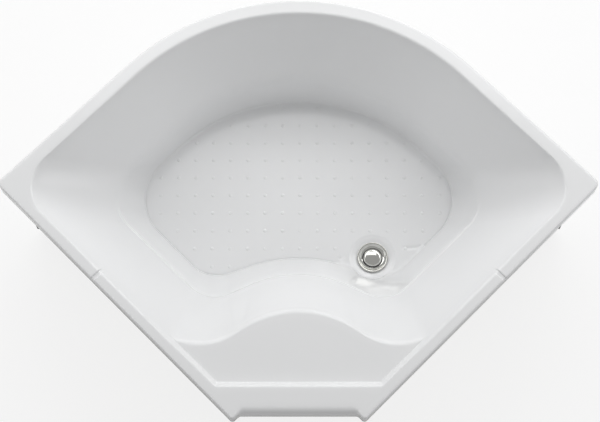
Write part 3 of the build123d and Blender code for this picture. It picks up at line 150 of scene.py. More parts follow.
def wall_point(wall_line, distance):
    """Point of a line beside the wall at a distance from the wing tip."""
    lean = ROOT2 * distance - HALF
    return ((wall_line - lean) / 2, (wall_line + lean) / 2)


def wall_run(start, end):
    """Stations along a wall side, closer together across the drain notch, without the last point."""
    first, last = along_wall(start), along_wall(end)
    near, far = NOTCH_FROM_TIP - 0.85 * NOTCH_WIDTH, NOTCH_FROM_TIP + 0.85 * NOTCH_WIDTH
    stops = ((first, near, 10), (near, far, 18), (far, last, 12))
    places = np.concatenate([np.linspace(a, b, n, endpoint=False) for a, b, n in stops])
    share = ((places - first) / (last - first))[:, None]
    return np.asarray(start) * (1 - share) + np.asarray(end) * share


def rounded(corners, radii, runs, turns):
    """Stations along a line with rounded corners, with a count for each straight and each corner."""
    parts, here = [], np.asarray(corners[0], float)
    for index, radius in enumerate(radii):
        corner, after = np.asarray(corners[index + 1], float), np.asarray(corners[index + 2], float)
        back, on = here - corner, after - corner
        back, on = back / hypot(*back), on / hypot(*on)
        opening = np.arccos(np.clip(back @ on, -1, 1))
        reach = radius / tan(opening / 2)
        centre = corner + (back + on) / hypot(*(back + on)) * radius / sin(opening / 2)
        enter, leave = corner + back * reach, corner + on * reach
        first = degrees(atan2(*(enter - centre)[::-1]))
        last = degrees(atan2(*(leave - centre)[::-1]))
        sweep = (last - first + 180) % 360 - 180
        parts += [run(here, enter, runs[index]), arc(centre, radius, first, sweep, turns[index])]
        here = leave
    parts.append(run(here, corners[-1], runs[-1]))
    return np.vstack(parts)


def front_part(apex, radius, corner, tip_radius):
    """Stations along the front curve, the free side and the wing's curve; also the last one's end."""
    turn = radius / ROOT2
    leg = tip_radius / ROOT2
    enter, leave = (corner[0] - leg, corner[1] - leg), (corner[0] - leg, corner[1] + leg)
    centre = (corner[0] - ROOT2 * tip_radius, corner[1])
    return np.vstack((
        arc((0, apex + radius), radius, -90, 45, 56),
        run((turn, apex + radius - turn), enter, 18),
        arc(centre, tip_radius, -45, 90, 26),
    )), leave


def whole(half):
    """Right half of an outline, from front to back, with its mirror image as a closed loop."""
    return np.vstack((half, half[-2:0:-1] * (-1, 1)))


def rim_outline(inset, tip_radius, turn_off):
    """Outer edge of the rim, moved in by an inset."""
    wall_line = HALF - ROOT2 * inset
    radius, back = FRONT_RADIUS - inset, BACK_Y - inset
    ear_line = 2 * EAR_HALF - HALF + ROOT2 * inset
    front, wall_start = front_part(ARC_CENTRE_Y - radius, radius, (wall_line, 0), tip_radius)
    wall_end = wall_point(wall_line, turn_off)
    rest = rounded(
        (wall_end, (EAR_HALF, wall_line - EAR_HALF), (ear_line + back, back), (0, back)),
        (EAR_RADIUS - inset if inset < EAR_RADIUS - 1 else 1, EAR_ROOT_RADIUS + inset), (22, 4, 28), (8, 8),
    )
    return whole(np.vstack((front, wall_run(wall_start, wall_end), rest, (0, back))))


def wing(front_in, free_in, wall_in):
    """Front curve's apex and radius, and the corner that its free side makes with the wall side."""
    apex = FRONT_Y + front_in
    free_line, wall_line = HALF - ROOT2 * free_in, HALF - ROOT2 * wall_in
    return apex, (free_line + apex) / (ROOT2 - 1), ((free_line + wall_line) / 2, (wall_line - free_line) / 2)


def plain_outline(free_in, wall_in, back_in, tip_radius, corner_radius, turn_off):
    """Basin outline above the seat, with its straight back."""
    apex, radius, corner = wing(free_in, free_in, wall_in)
    wall_line, back = HALF - ROOT2 * wall_in, BACK_Y - back_in
    front, wall_start = front_part(apex, radius, corner, tip_radius)
    wall_end = wall_point(wall_line, turn_off)
    rest = rounded((wall_end, (wall_line - back, back), (0, back)), (corner_radius,), (24, 40), (6,))
    return whole(np.vstack((front, wall_run(wall_start, wall_end), rest, (0, back))))


def wave(wall_in, lobe_x, bulge, lobe_radius, flank_radius, straight):
    """Middles and radii of the arcs along the back: flank, lobe and bulge, and the bulge's turn."""
    turned = radians(45 + FLANK_TURN)
    reach = lobe_x + lobe_radius * cos(turned)
    flank_gap = ROOT2 * flank_radius * (1 - cos(radians(FLANK_TURN)))
    lobe_y = HALF - ROOT2 * wall_in - flank_gap - reach - lobe_radius * sin(turned)
    shift = flank_radius - lobe_radius
    arcs = (lobe_x**2 + bulge**2 - straight**2) / (2 * bulge)
    rise = bulge - arcs
    slope = degrees(atan2(arcs * lobe_x + straight * rise, straight * lobe_x - arcs * rise))
    bulge_radius = arcs - lobe_radius
    flank = (lobe_x - shift * cos(turned), lobe_y - shift * sin(turned))
    return flank, (lobe_x, lobe_y), (0, lobe_y + lobe_radius - bulge + bulge_radius), bulge_radius, slope


def wavy_outline(front_in, free_in, wall_in, tip_radius, curves, grow):
    """Basin outline from the seat down: two lobes at the back and a bulge between them."""
    grown = dict(curves, lobe_radius=curves["lobe_radius"] + grow, flank_radius=curves["flank_radius"] + grow)
    apex, radius, corner = wing(front_in, free_in, wall_in)
    front, wall_start = front_part(apex, radius, corner, tip_radius)
    flank, lobe, middle, bulge_radius, slope = wave(wall_in, **grown)
    first = 45 + FLANK_TURN
    wall_end = arc(flank, grown["flank_radius"], 45, 0, 1)[0]
    lobe_end = arc(lobe, grown["lobe_radius"], 90 + slope, 0, 1)[0]
    bulge_start = arc(middle, bulge_radius, 270 + slope, 0, 1)[0]
    return whole(np.vstack((
        front,
        wall_run(wall_start, wall_end),
        arc(flank, grown["flank_radius"], 45, FLANK_TURN, 8),
        arc(lobe, grown["lobe_radius"], first, 90 + slope - first, 24),
        run(lobe_end, bulge_start, 6),
        arc(middle, bulge_radius, 270 + slope, -slope, 32),
        (0, middle[1] - bulge_radius),
    )))


def basin_loops(grow):
    """Outlines of the basin let out by a wall: rim edge, riser's foot, seat edge, well edge and floor edge."""
    seat_curves = dict(SEAT_WAVE, lobe_radius=SEAT_WAVE["lobe_radius"] + grow,
                       flank_radius=SEAT_WAVE["flank_radius"] + grow)
    flank = wave(SEAT_WALL - grow, **seat_curves)[0]
    turn_off = along_wall(arc(flank, seat_curves["flank_radius"], 45, 0, 1)[0])
    return (
        plain_outline(RIM_FREE - grow, RIM_WALL - grow, RIM_BACK - grow,
                      RIM_TIP_RADIUS + grow, SEAT_CORNER_RADIUS + grow, turn_off),
        plain_outline(SEAT_FREE - grow, SEAT_WALL - grow, SEAT_BACK - grow,
                      RIM_TIP_RADIUS + grow, SEAT_CORNER_RADIUS + grow, turn_off),
        wavy_outline(SEAT_FREE - grow, SEAT_FREE - grow, SEAT_WALL - grow, RIM_TIP_RADIUS + grow, SEAT_WAVE, grow),
        wavy_outline(WELL_FRONT - grow, WELL_FREE - grow, WELL_WALL - grow, WELL_TIP_RADIUS + grow, WELL_WAVE, grow),
        wavy_outline(FLOOR_FRONT - grow, FLOOR_FREE - grow, FLOOR_WALL - grow, FLOOR_TIP_RADIUS + grow,
                     FLOOR_WAVE, grow),
        turn_off,
    )


def outward(loop):
    """Unit normals of a closed outline, pointing out of it."""
    tangent = np.roll(loop, -1, 0) - np.roll(loop, 1, 0)
    normal = np.column_stack((tangent[:, 1], -tangent[:, 0]))
    return normal / np.linalg.norm(normal, axis=1)[:, None]


def at(loop, height):
    """Outline raised to a height, which may differ from station to station."""
    return np.column_stack((loop, np.broadcast_to(height, len(loop))))


# Surfaces ---------------------------------------------------------------------------------------


def bend(enter, corner, leave, steps):
    """Points of a curve that starts and ends on the two legs of a corner."""
    return [(1 - t) ** 2 * enter + 2 * t * (1 - t) * corner + t * t * leave for t in np.linspace(0, 1, steps)]


def ease(rows, reaches, fills, steps):
    """Rows of a profile: each inner row becomes a curve that reaches so far, each straight gets filling rows."""
    made = [rows[0]]
    for index in range(1, len(rows) - 1):
        here = rows[index]
        before, after = rows[index - 1] - here, rows[index + 1] - here
        length_in = np.maximum(np.linalg.norm(before, axis=1), 1e-9)[:, None]
        length_out = np.maximum(np.linalg.norm(after, axis=1), 1e-9)[:, None]
        reach = np.minimum(np.broadcast_to(reaches[index - 1], len(here))[:, None],
                           0.45 * np.minimum(length_in, length_out))
        enter, leave, start = here + before / length_in * reach, here + after / length_out * reach, made[-1]
        made += [start + (enter - start) * share for share in np.linspace(0, 1, fills[index - 1] + 2)[1:-1]]
        made += bend(enter, here, leave, steps)
    start = made[-1]
    made += [start + (rows[-1] - start) * share for share in np.linspace(0, 1, fills[-1] + 2)[1:]]
    return made


def skin_faces(rows, count, closed=False):
    """Faces between rings of stations; a closed surface also joins its last ring to its first."""
    faces = []
    for row in range(rows if closed else rows - 1):
        low, high = row * count, (row + 1) % rows * count
        faces += [(low + k, low + (k + 1) % count, high + (k + 1) % count, high + k) for k in range(count)]
    return faces


def skin(rows, centre):
    """Points and faces of a surface through closed rows, with a point that closes its last row."""
    count, points = len(rows[0]), np.vstack((*rows, centre))
    low, tip = len(points) - 1 - count, len(points) - 1
    return points, skin_faces(len(rows), count) + [(low + k, low + (k + 1) % count, tip) for k in range(count)]


def link_object(name, data):
    """Object made from some data, in the scene."""
    item = bpy.data.objects.new(name, data)
    bpy.context.scene.collection.objects.link(item)
    return item


def to_mesh(name, points, faces, sharp=38.0, merge=1e-6, shift=True):
    """Mesh object in the frame from millimetre points: doubles merged, faces outward, hard edges kept."""
    placed = np.asarray(points, float).copy()
    if shift:
        placed[:, 1] += PLAN_Y
    form = bmesh.new()
    verts = [form.verts.new(p) for p in placed / MM]
    for face in faces:
        corners = list(dict.fromkeys(face))
        if len(corners) > 2:
            try:
                form.faces.new([verts[i] for i in corners])
            except ValueError:
                continue
    bmesh.ops.remove_doubles(form, verts=form.verts, dist=merge)
    bmesh.ops.dissolve_degenerate(form, edges=form.edges, dist=merge)
    bmesh.ops.recalc_face_normals(form, faces=form.faces)
    for face in form.faces:
        face.smooth = True
    for edge in form.edges:
        edge.smooth = len(edge.link_faces) == 2 and edge.calc_face_angle(0) < radians(sharp)
    mesh = bpy.data.meshes.new(name)
    form.to_mesh(mesh)
    form.free()
    return link_object(name, mesh)


def dress(piece, body, slot, *nodes):
    """Gives a finished piece the material of its slot if it has none yet, puts it in its body and hides the CAD nodes
    that it stands for.
    """
    if not piece.data.materials:
        piece.data.materials.append(FINISHES[slot])
    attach(piece, body)
    if nodes:
        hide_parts(*nodes)
    return piece


def join(*meshes):
    """Several sets of points and faces as one."""
    points, faces, base = [], [], 0
    for some_points, some_faces in meshes:
        points.append(np.asarray(some_points, float))
        faces += [tuple(i + base for i in face) for face in some_faces]
        base += len(some_points)
    return np.vstack(points), faces


def lathe(profile, centre, count, closed=True):
    """Points and faces of a profile of (radius, height) pairs turned about an upright axis."""
    angles = np.linspace(0, 2 * pi, count, endpoint=False)
    points = [(centre[0] + r * cos(a), centre[1] + r * sin(a), z) for r, z in profile for a in angles]
    return np.array(points), skin_faces(len(profile), count, closed)


def soften(profile, reach, steps=4):
    """Closed profile whose corners are eased by a reach, or by one reach for each corner."""
    made, count = [], len(profile)
    reaches = [reach] * count if isinstance(reach, (int, float)) else reach
    for index, here in enumerate(profile):
        if reaches[index] <= 0:
            made.append(tuple(here))
            continue
        here = np.array(here, float)
        before, after = np.array(profile[index - 1]) - here, np.array(profile[(index + 1) % count]) - here
        length_in, length_out = hypot(*before), hypot(*after)
        step = min(reaches[index], 0.48 * length_in, 0.48 * length_out)
        curve = bend(here + before / length_in * step, here, here + after / length_out * step, steps)
        made += [tuple(spot) for spot in curve]
    return made


def thread(radius, depth, pitch, low, high, centre, count):
    """Open screw thread between two heights, run out to its root at both ends."""
    per_turn, points = 6, []
    rows = int(round((high - low) / pitch * per_turn))
    for z in np.linspace(low, high, rows + 1):
        run_out = min(1.0, (z - low) / pitch, (high - z) / pitch)
        for k in range(count):
            phase = (z / pitch - k / count) % 1.0
            crest = run_out * max(0.0, min(1.0, 1.45 - abs(phase - 0.5) * 3.4))
            r = radius - depth * (1 - crest)
            angle = 2 * pi * k / count
            points.append((centre[0] + r * cos(angle), centre[1] + r * sin(angle), z))
    return np.array(points), skin_faces(rows + 1, count)


# Moulding ---------------------------------------------------------------------------------------


def dish_height(distance, grow, drop):
    """Height of the waste's dish, and of the scallop above it, at a distance from the waste's axis."""
    flat, edge = DISH_FLAT + grow, DISH_RADIUS + grow
    if distance <= flat:
        return FLOOR_Z - DISH_DEPTH - drop
    if distance <= edge:
        return FLOOR_Z - drop - DISH_DEPTH * (edge - distance) / (edge - flat)
    return FLOOR_Z - drop + (distance - edge) / tan(radians(DISH_DRAFT))


def blend_low(a, b, width):
    """Lower of two heights, with a soft change from one to the other."""
    near = max(width - abs(a - b), 0) / width
    return min(a, b) - near * near * width / 4


def inside(point, loop):
    """Whether a plan point lies inside a closed line."""
    hit, previous = False, loop[-1]
    for here in loop:
        if (here[1] > point[1]) != (previous[1] > point[1]):
            cross = (previous[0] - here[0]) * (point[1] - here[1]) / (previous[1] - here[1]) + here[0]
            hit ^= point[0] < cross
        previous = here
    return hit


def crease_place(point):
    """Distance of a plan point from the nearest crease end, and the crease's share of depth there."""
    best, fade_in, fade_out = (1e9, 0.0), 3, 18
    for path in CREASE_ENDS:
        lengths = [hypot(b[0] - a[0], b[1] - a[1]) for a, b in zip(path, path[1:])]
        whole_length, passed = sum(lengths), 0.0
        for (ax, ay), (bx, by), size in zip(path, path[1:], lengths):
            along = ((point[0] - ax) * (bx - ax) + (point[1] - ay) * (by - ay)) / size
            along = min(max(along, 0.0), size)
            gap = hypot(point[0] - ax - (bx - ax) * along / size, point[1] - ay - (by - ay) * along / size)
            done = passed + along
            best = min(best, (gap, min(done / fade_in, (whole_length - done) / fade_out, 1.0)))
            passed += size
    return best


def crease_drop(point, width, depth):
    """How far a crease end lowers a plan point."""
    gap, share = crease_place(point)
    inner = max(1 - (gap / (0.75 * width)) ** 2, 0)
    return depth * share * inner * inner


def crease_points(width):
    """Plan points in rows along the crease ends."""
    spots, spacing = [], 3.5
    for path in CREASE_ENDS:
        for (ax, ay), (bx, by) in zip(path, path[1:]):
            size = hypot(bx - ax, by - ay)
            count = int(size / spacing)
            for share in (step / count for step in range(count)):
                for offset in (-1.1, -0.7, -0.35, 0, 0.35, 0.7, 1.1):
                    spots.append((ax + (bx - ax) * share - (by - ay) / size * offset * width,
                                  ay + (by - ay) * share + (bx - ax) / size * offset * width))
    return spots


def ring_edges(first, count):
    """Edges of a closed line whose points are numbered from a first one."""
    return [(first + k, first + (k + 1) % count) for k in range(count)]


def open_waste(points, faces, grow, drop, softness, crease=None):
    """Cuts the waste's dish and hole into a skin. Gives the new points, the faces and the hole's ring."""
    count, ring_count = 96, 20
    tree = BVHTree.FromPolygons([Vector(p) for p in points], faces)
    reach = PATCH_RADIUS + grow
    in_reach = np.hypot(points[:, 0] - WASTE[0], points[:, 1] - WASTE[1]) < reach
    near = in_reach.copy()
    if crease:
        flat_floor = np.abs(points[:, 2] - FLOOR_Z) < 1e-6
        near |= flat_floor & (np.array([crease_place(p)[0] for p in points[:, :2]]) < CREASE_PATCH)
    lost, kept = [], []
    for face in faces:
        (lost if any(in_reach[i] for i in face) or all(near[i] for i in face) else kept).append(face)
    edges = {(face[k - 1], face[k]) for face in lost for k in range(len(face))}
    follow = {a: b for a, b in edges if (b, a) not in edges and a != b}
    border = [next(iter(follow))]
    while follow[border[-1]] != border[0]:
        border.append(follow[border[-1]])
    size = len(border)
    outline = [Vector(points[i][:2]) for i in border]
    plan, heights = list(outline), []
    radii = list(np.linspace(WASTE_HOLE, reach - 5.0, ring_count))
    for radius in radii:
        for k in range(count):
            angle = 2 * pi * k / count
            spot = (WASTE[0] + radius * cos(angle), WASTE[1] + radius * sin(angle))
            ground = tree.ray_cast(Vector((*spot, RIM_TOP + 50)), Vector((0, 0, -1)))[0].z
            plan.append(Vector(spot))
            fall = crease_drop(spot, *crease) if crease else 0.0
            heights.append(blend_low(ground, dish_height(radius, grow, drop), softness) - fall)
    for spot in crease_points(crease[0]) if crease else ():
        clear = min((Vector(spot) - edge).length for edge in outline)
        if clear > 1.2 and inside(spot, outline) and hypot(*(WASTE - spot)) > radii[-1] + 1.5:
            plan.append(Vector(spot))
            heights.append(FLOOR_Z - crease_drop(spot, *crease))
    rings = ring_edges(0, size) + ring_edges(size, count)
    flat, _, triangles, sources, _, _ = delaunay_2d_cdt(plan, rings, [], 0, 1e-5)
    hole = range(size, size + count)
    index, added = {}, []
    for k, source in enumerate(sources):
        if source and source[0] < size:
            index[k] = border[source[0]]
        else:
            index[k] = len(points) + len(added)
            added.append((*flat[k], heights[source[0] - size]))
    for triangle in triangles:
        if all(sources[k] and sources[k][0] in hole for k in triangle):
            continue
        middle = sum((flat[k] for k in triangle), Vector((0, 0))) / 3
        if inside(middle, outline):
            kept.append(tuple(index[k] for k in triangle))
    place = {source[0]: k for k, source in enumerate(sources) if source}
    return np.vstack((points, added)), kept, [index[place[k]] for k in hole]


def notch_drop(points):
    """How far the drain notches lower each point of the rim."""
    distance = np.abs(np.array([along_wall(p) for p in points]) - NOTCH_FROM_TIP)
    side = np.clip((0.62 * NOTCH_WIDTH - distance) / (0.24 * NOTCH_WIDTH), 0, 1)
    on_wall = (points[:, 1] > 0) & (np.abs(points[:, 0]) + points[:, 1] > HALF - ROOT2 * (RIM_WALL + 14))
    lift = np.clip((points[:, 2] - (RIM_TOP - 13)) / 9, 0, 1)
    return NOTCH_DEPTH * side * side * (3 - 2 * side) * lift * lift * (3 - 2 * lift) * on_wall


def floor_rows(edge, height, shares):
    """Rows from a floor's edge in towards its middle."""
    return [at(FLOOR_MIDDLE + (edge - FLOOR_MIDDLE) * share, height) for share in shares]


def crispness(count, first, last):
    """Share of sharpness at each station: none round the front, full from the wing's curve to the back."""
    place = np.minimum(np.arange(count), count - np.arange(count))
    share = np.clip((place - first) / (last - first), 0, 1)
    return (share * share * (3 - 2 * share))[:, None]


def waste_side(count):
    """Share of the crease left at each station: none where the floor's edge passes the waste."""
    place = count - np.arange(count)
    share = np.maximum(np.clip((116 - place) / 6, 0, 1), np.clip((place - 182) / 6, 0, 1))
    return (share * share * (3 - 2 * share))[:, None]


def toward(start, end, distance):
    """Points a distance along the way from each start to its end."""
    way = end - start
    return start + way / np.linalg.norm(way, axis=1)[:, None] * distance


def well_bend(seat, well, floor, sizes):
    """Two rows of the bend over the well: a soft bend in front, a narrow ledge at the sides and back."""
    crisp = crispness(len(well), 85, 95)
    ledge = np.column_stack((outward(well[:, :2]) * sizes.well_ledge * MM, np.full(len(well), 0.25)))
    soft = sizes.well_edge * MM
    return (toward(well, seat, soft) * (1 - crisp) + (well + ledge) * crisp,
            toward(well, floor, soft) * (1 - crisp) + well * crisp)


def crease_rows(well, floor, sizes):
    """Rows of the bend round the floor: soft in front, with a shallow groove at the sides and back."""
    crisp = crispness(len(floor), 72, 88) * waste_side(len(floor))
    half, deep = sizes.crease_width * MM / 2, sizes.crease_depth * MM
    inward = np.column_stack((-outward(floor[:, :2]), np.zeros(len(floor))))
    soft = sizes.floor_edge * MM
    return (
        toward(floor, well, soft) * (1 - crisp) + toward(floor, well, half) * crisp,
        floor - (0, 0, deep) * crisp,
        (floor + inward * soft) * (1 - crisp) + (floor + inward * half) * crisp,
    )


def front_skin(sizes):
    """Visible side of the acrylic: lip, rim, seat, walls and floor."""
    rim_edge, riser, seat, well, floor, turn_off = basin_loops(0)
    outer = rim_outline(0, TIP_RADIUS, turn_off)
    normals = outward(outer)
    behind = np.clip((EAR_HALF - 10 - np.abs(outer[:, 0])) / 12, 0, 1) * (outer[:, 1] > 300)
    rounding = RIM_ROUND + (BACK_ROUND - RIM_ROUND) * behind * behind * (3 - 2 * behind)
    lip = RIM_TOP - LIP_HEIGHT
    rows = [at(outer - normals * 0.9, lip), at(outer - normals * 0.25, lip + 0.25), at(outer, lip + 0.9)]
    rows += [at(outer, lip + 0.9 + (RIM_TOP - rounding - lip - 0.9) * share) for share in (0.3, 0.6, 0.85)]
    for angle in np.linspace(0, pi / 2, 8):
        inset = rounding * (1 - cos(angle))
        rows.append(at(outer - normals * inset[:, None], RIM_TOP - rounding * (1 - sin(angle))))
    seat, well, floor = at(seat, SEAT_Z), at(well, WELL_Z), at(floor, FLOOR_Z)
    keys = [rows[-1], at(rim_edge, RIM_TOP), at(riser, SEAT_Z), seat, *well_bend(seat, well, floor, sizes),
            *crease_rows(well, floor, sizes), *floor_rows(floor[:, :2], FLOOR_Z, (0.82,))]
    crisp = crispness(len(well), 85, 95)[:, 0]
    bend = 0.9 * sizes.well_edge * MM * (1 - crisp) + 0.45 * sizes.well_ledge * MM * crisp
    crease = 0.45 * sizes.floor_edge * MM
    reaches = [sizes.rim_edge * MM, sizes.riser_foot * MM, sizes.seat_edge * MM, bend, bend, crease, crease, crease]
    rows += ease(keys, reaches, (3, 1, 6, 9, 0, 5, 0, 0, 4), 6)[1:]
    rows += floor_rows(floor[:, :2], FLOOR_Z, (0.79, 0.76, 0.73, 0.7, 0.62, 0.52, 0.4, 0.27, 0.14))
    rows = [np.column_stack((row[:, :2], row[:, 2] - notch_drop(row))) for row in rows]
    return skin(rows, (*FLOOR_MIDDLE, FLOOR_Z))


def back_rows(grow, drop):
    """Rows of the moulding's hidden side, from the rim's underside down to the floor's."""
    rim_edge, riser, seat, well, floor, turn_off = basin_loops(grow)
    keys = [at(rim_edge, RIM_TOP - SHELL_WALL), at(riser, SEAT_Z - drop), at(seat, SEAT_Z - drop),
            at(well, WELL_Z), at(floor, FLOOR_Z), at(floor, FLOOR_Z - drop),
            *floor_rows(floor, FLOOR_Z - drop, (0.82,))]
    rows = ease(keys, (4.0, 9.0, 9.0, 2.0, 4.0), (1, 3, 6, 3, 0, 1), 4)
    return rows + floor_rows(floor, FLOOR_Z - drop, (0.6, 0.4, 0.2)), turn_off


def back_skin():
    """Hidden side of the acrylic, with the inside of the lip and the underside of the rim."""
    below, turn_off = back_rows(BACK_SIDE, BACK_DROP)
    inner = rim_outline(SHELL_WALL, LIP_CORNER, turn_off)
    normals = outward(inner)
    behind = np.clip((EAR_HALF - 10 - np.abs(inner[:, 0])) / 12, 0, 1) * (inner[:, 1] > 300)
    fill = (BACK_ROUND - SHELL_WALL) * behind
    lip, under = RIM_TOP - LIP_HEIGHT, RIM_TOP - SHELL_WALL
    rows = [at(inner + normals * 0.8, lip), at(inner, lip + 0.8), at(inner, lip + 15), at(inner, under - fill),
            at(inner - normals * fill[:, None], under)]
    rows += [rows[-1] + (below[0] - rows[-1]) * share for share in (0.35, 0.7)]
    rows = [np.column_stack((row[:, :2], row[:, 2] - notch_drop(row))) for row in rows]
    return skin(rows + below, (*FLOOR_MIDDLE, FLOOR_Z - BACK_DROP))


def ring_faces(first, second):
    """Faces between two rings of points with the same count."""
    return [(first[k - 1], first[k], second[k], second[k - 1]) for k in range(len(first))]


def closed_shell(front, back, count):
    """One closed shell from a front and a back skin, joined along their first row and the waste's hole."""
    (front_points, front_faces, front_hole), (back_points, back_faces, back_hole) = front, back
    base = len(front_points)
    points, faces = join((front_points, front_faces), (back_points, back_faces))
    faces += ring_faces(list(range(count)), [base + k for k in range(count)])
    faces += ring_faces(front_hole, [base + k for k in back_hole])
    return points, faces


# Finishes ---------------------------------------------------------------------------------------


class Graph:
    """A node tree in the making."""

    def __init__(self, tree):
        self.tree = tree
        tree.nodes.clear()

    def add(self, kind, settings=None, values=None):
        """Adds a node of a kind, sets it up, then sets or links its sockets."""
        node = self.tree.nodes.new(kind)
        for name, setting in (settings or {}).items():
            setattr(node, name, setting)
        for name, value in (values or {}).items():
            socket = node.inputs[name]
            if isinstance(value, Value):
                value = value.socket
            if isinstance(value, bpy.types.NodeSocket):
                self.tree.links.new(value, socket)
            elif socket.type == "RGBA" and len(value) == 3:
                socket.default_value = (*value, 1)
            else:
                socket.default_value = value
        return node


class Value:
    """Output of a shader node that takes part in sums and products."""

    def __init__(self, finish, socket):
        self.finish, self.socket = finish, socket

    def _math(self, operation, other):
        return self.finish.value("ShaderNodeMath", {"operation": operation}, {0: self, 1: other})

    def __add__(self, other):
        return self._math("ADD", other)

    def __mul__(self, other):
        return self._math("MULTIPLY", other)

    def most(self, other):
        return self._math("MAXIMUM", other)

    __radd__, __rmul__ = __add__, __mul__


class Finish(Graph):
    """A material in the making: one Principled shader and the nodes that feed it."""

    def __init__(self, name, **constants):
        self.material = bpy.data.materials.new(name)
        self.material.use_nodes = True
        super().__init__(self.material.node_tree)
        self.place = self.value("ShaderNodeTexCoord", output="Object")
        self.shader = self.add("ShaderNodeBsdfPrincipled", values=constants)
        end = self.add("ShaderNodeOutputMaterial", values={"Surface": self.shader.outputs["BSDF"]})
        end.is_active_output = True

    def value(self, kind, settings=None, values=None, output=0):
        """Adds a node and gives one of its outputs."""
        return Value(self, self.add(kind, settings, values).outputs[output])

    def grain(self, scale, detail=3.0, roughness=0.5, stretch=(1, 1, 1), seed=0.0):
        """Noise between 0 and 1, finer with a larger scale and drawn out where its stretch is small."""
        place = self.value("ShaderNodeMapping", {"vector_type": "POINT"}, {
            "Vector": self.place, "Scale": stretch, "Location": (seed, seed * 0.37, -seed)})
        return self.value("ShaderNodeTexNoise", {}, {
            "Vector": place, "Scale": scale, "Detail": detail, "Roughness": roughness}, "Fac")

    def cells(self, scale, output="Distance", stretch=(1, 1, 1), turn=(0, 0, 0)):
        """Voronoi cells: distance to the nearest middle, or a colour for each cell."""
        place = self.value("ShaderNodeMapping", {"vector_type": "POINT"}, {
            "Vector": self.place, "Scale": stretch, "Rotation": turn})
        return self.value("ShaderNodeTexVoronoi", {"feature": "F1"}, {"Vector": place, "Scale": scale}, output)

    def mix(self, share, first, second):
        """Colour between two colours."""
        kind = {"data_type": "RGBA", "blend_type": "MIX", "clamp_factor": True}
        return self.value("ShaderNodeMix", kind, {0: share, 6: first, 7: second}, 2)

    def band(self, value, low, high, to_low=0.0, to_high=1.0):
        """Value moved from one span to another, and held to it."""
        return self.value("ShaderNodeMapRange", {"interpolation_type": "SMOOTHSTEP"}, {
            "Value": value, "From Min": low, "From Max": high, "To Min": to_low, "To Max": to_high})

    def relief(self, height, depth):
        """Bumps of a depth in metres where the height goes from 0 to 1."""
        normal = self.value("ShaderNodeBump", {}, {"Height": height, "Strength": 1.0, "Distance": depth})
        self.tree.links.new(normal.socket, self.shader.inputs["Normal"])

    def feed(self, **links):
        """Links values that change over the surface to the shader's sockets."""
        for name, value in links.items():
            self.tree.links.new(value.socket, self.shader.inputs[name.replace("_", " ")])
        return self.material


def shade(colour, factor):
    """Colour made lighter or darker."""
    return tuple(min(1.0, part * factor) for part in colour[:3])


def acrylic(name, colour, roughness, ripple):
    """Glossy cast acrylic, barely uneven, with faint wiping marks in its gloss."""
    finish = Finish(name, **{"IOR": 1.49, "Coat Roughness": 0.04, "Coat IOR": 1.49})
    cast = finish.grain(6.0, 2.0, seed=3.0)
    wiping = finish.grain(22.0, 5.0, 0.62, (1.0, 0.35, 0.6), 7.0)
    specks = finish.band(finish.grain(900.0, 1.0, seed=1.0), 0.69, 0.74)
    base = finish.mix(cast * 0.5, colour, shade(colour, 0.985))
    base = finish.mix(specks * 0.06, base, shade(colour, 0.8))
    finish.relief(finish.grain(14.0, 2.0, seed=5.0) * 0.8 + finish.grain(160.0, 2.0, seed=2.0) * 0.012, ripple)
    return finish.feed(Base_Color=base, Roughness=roughness + finish.band(wiping, 0.45, 0.75) * 0.05)


def sprayed_glass(name, colour):
    """Chopped glass strands in resin: crossing strands, blobs and bubbles."""
    finish = Finish(name, **{"IOR": 1.52})
    strands = None
    for turn in (0.3, 1.4, 2.5):
        lines = finish.cells(95.0, stretch=(1.0, 0.09, 0.5), turn=(turn * 0.6, turn, turn))
        strand = finish.band(lines, 0.0, 0.16, 1.0, 0.0)
        strands = strand if strands is None else strands.most(strand)
    lumps = finish.grain(70.0, 4.0, 0.6, seed=4.0)
    pools = finish.grain(11.0, 3.0, 0.55, seed=9.0)
    bubbles = finish.band(finish.cells(420.0), 0.0, 0.16, 1.0, 0.0) * finish.band(pools, 0.5, 0.62)
    base = finish.mix(finish.band(pools, 0.3, 0.7), shade(colour, 0.86), shade(colour, 1.08))
    base = finish.mix(strands * 0.5, base, shade(colour, 1.32))
    base = finish.mix(bubbles * 0.55, base, shade(colour, 0.6))
    finish.relief(lumps * 0.7 + strands * 0.22 + bubbles * 0.1, 0.0022)
    return finish.feed(Base_Color=base, Roughness=finish.band(pools, 0.3, 0.7, 0.62, 0.34))


def chipboard(name, colour):
    """Pressed wood chips of several browns under a thin resin skin."""
    finish = Finish(name)
    chips = finish.cells(260.0, "Color", stretch=(1.0, 0.55, 1.0))
    tone = finish.value("ShaderNodeSeparateColor", {}, {0: chips})
    fine = finish.cells(900.0, stretch=(1.0, 0.4, 1.0))
    base = finish.mix(tone, shade(colour, 0.62), shade(colour, 1.42))
    base = finish.mix(finish.band(fine, 0.25, 0.55) * 0.35, base, shade(colour, 0.45))
    base = finish.mix(finish.grain(12.0, 2.0) * 0.25, base, shade(colour, 1.5))
    finish.relief(tone * 0.5 + fine * 0.5, 0.0004)
    return finish.feed(Base_Color=base, Roughness=finish.band(tone, 0.0, 1.0, 0.55, 0.85))


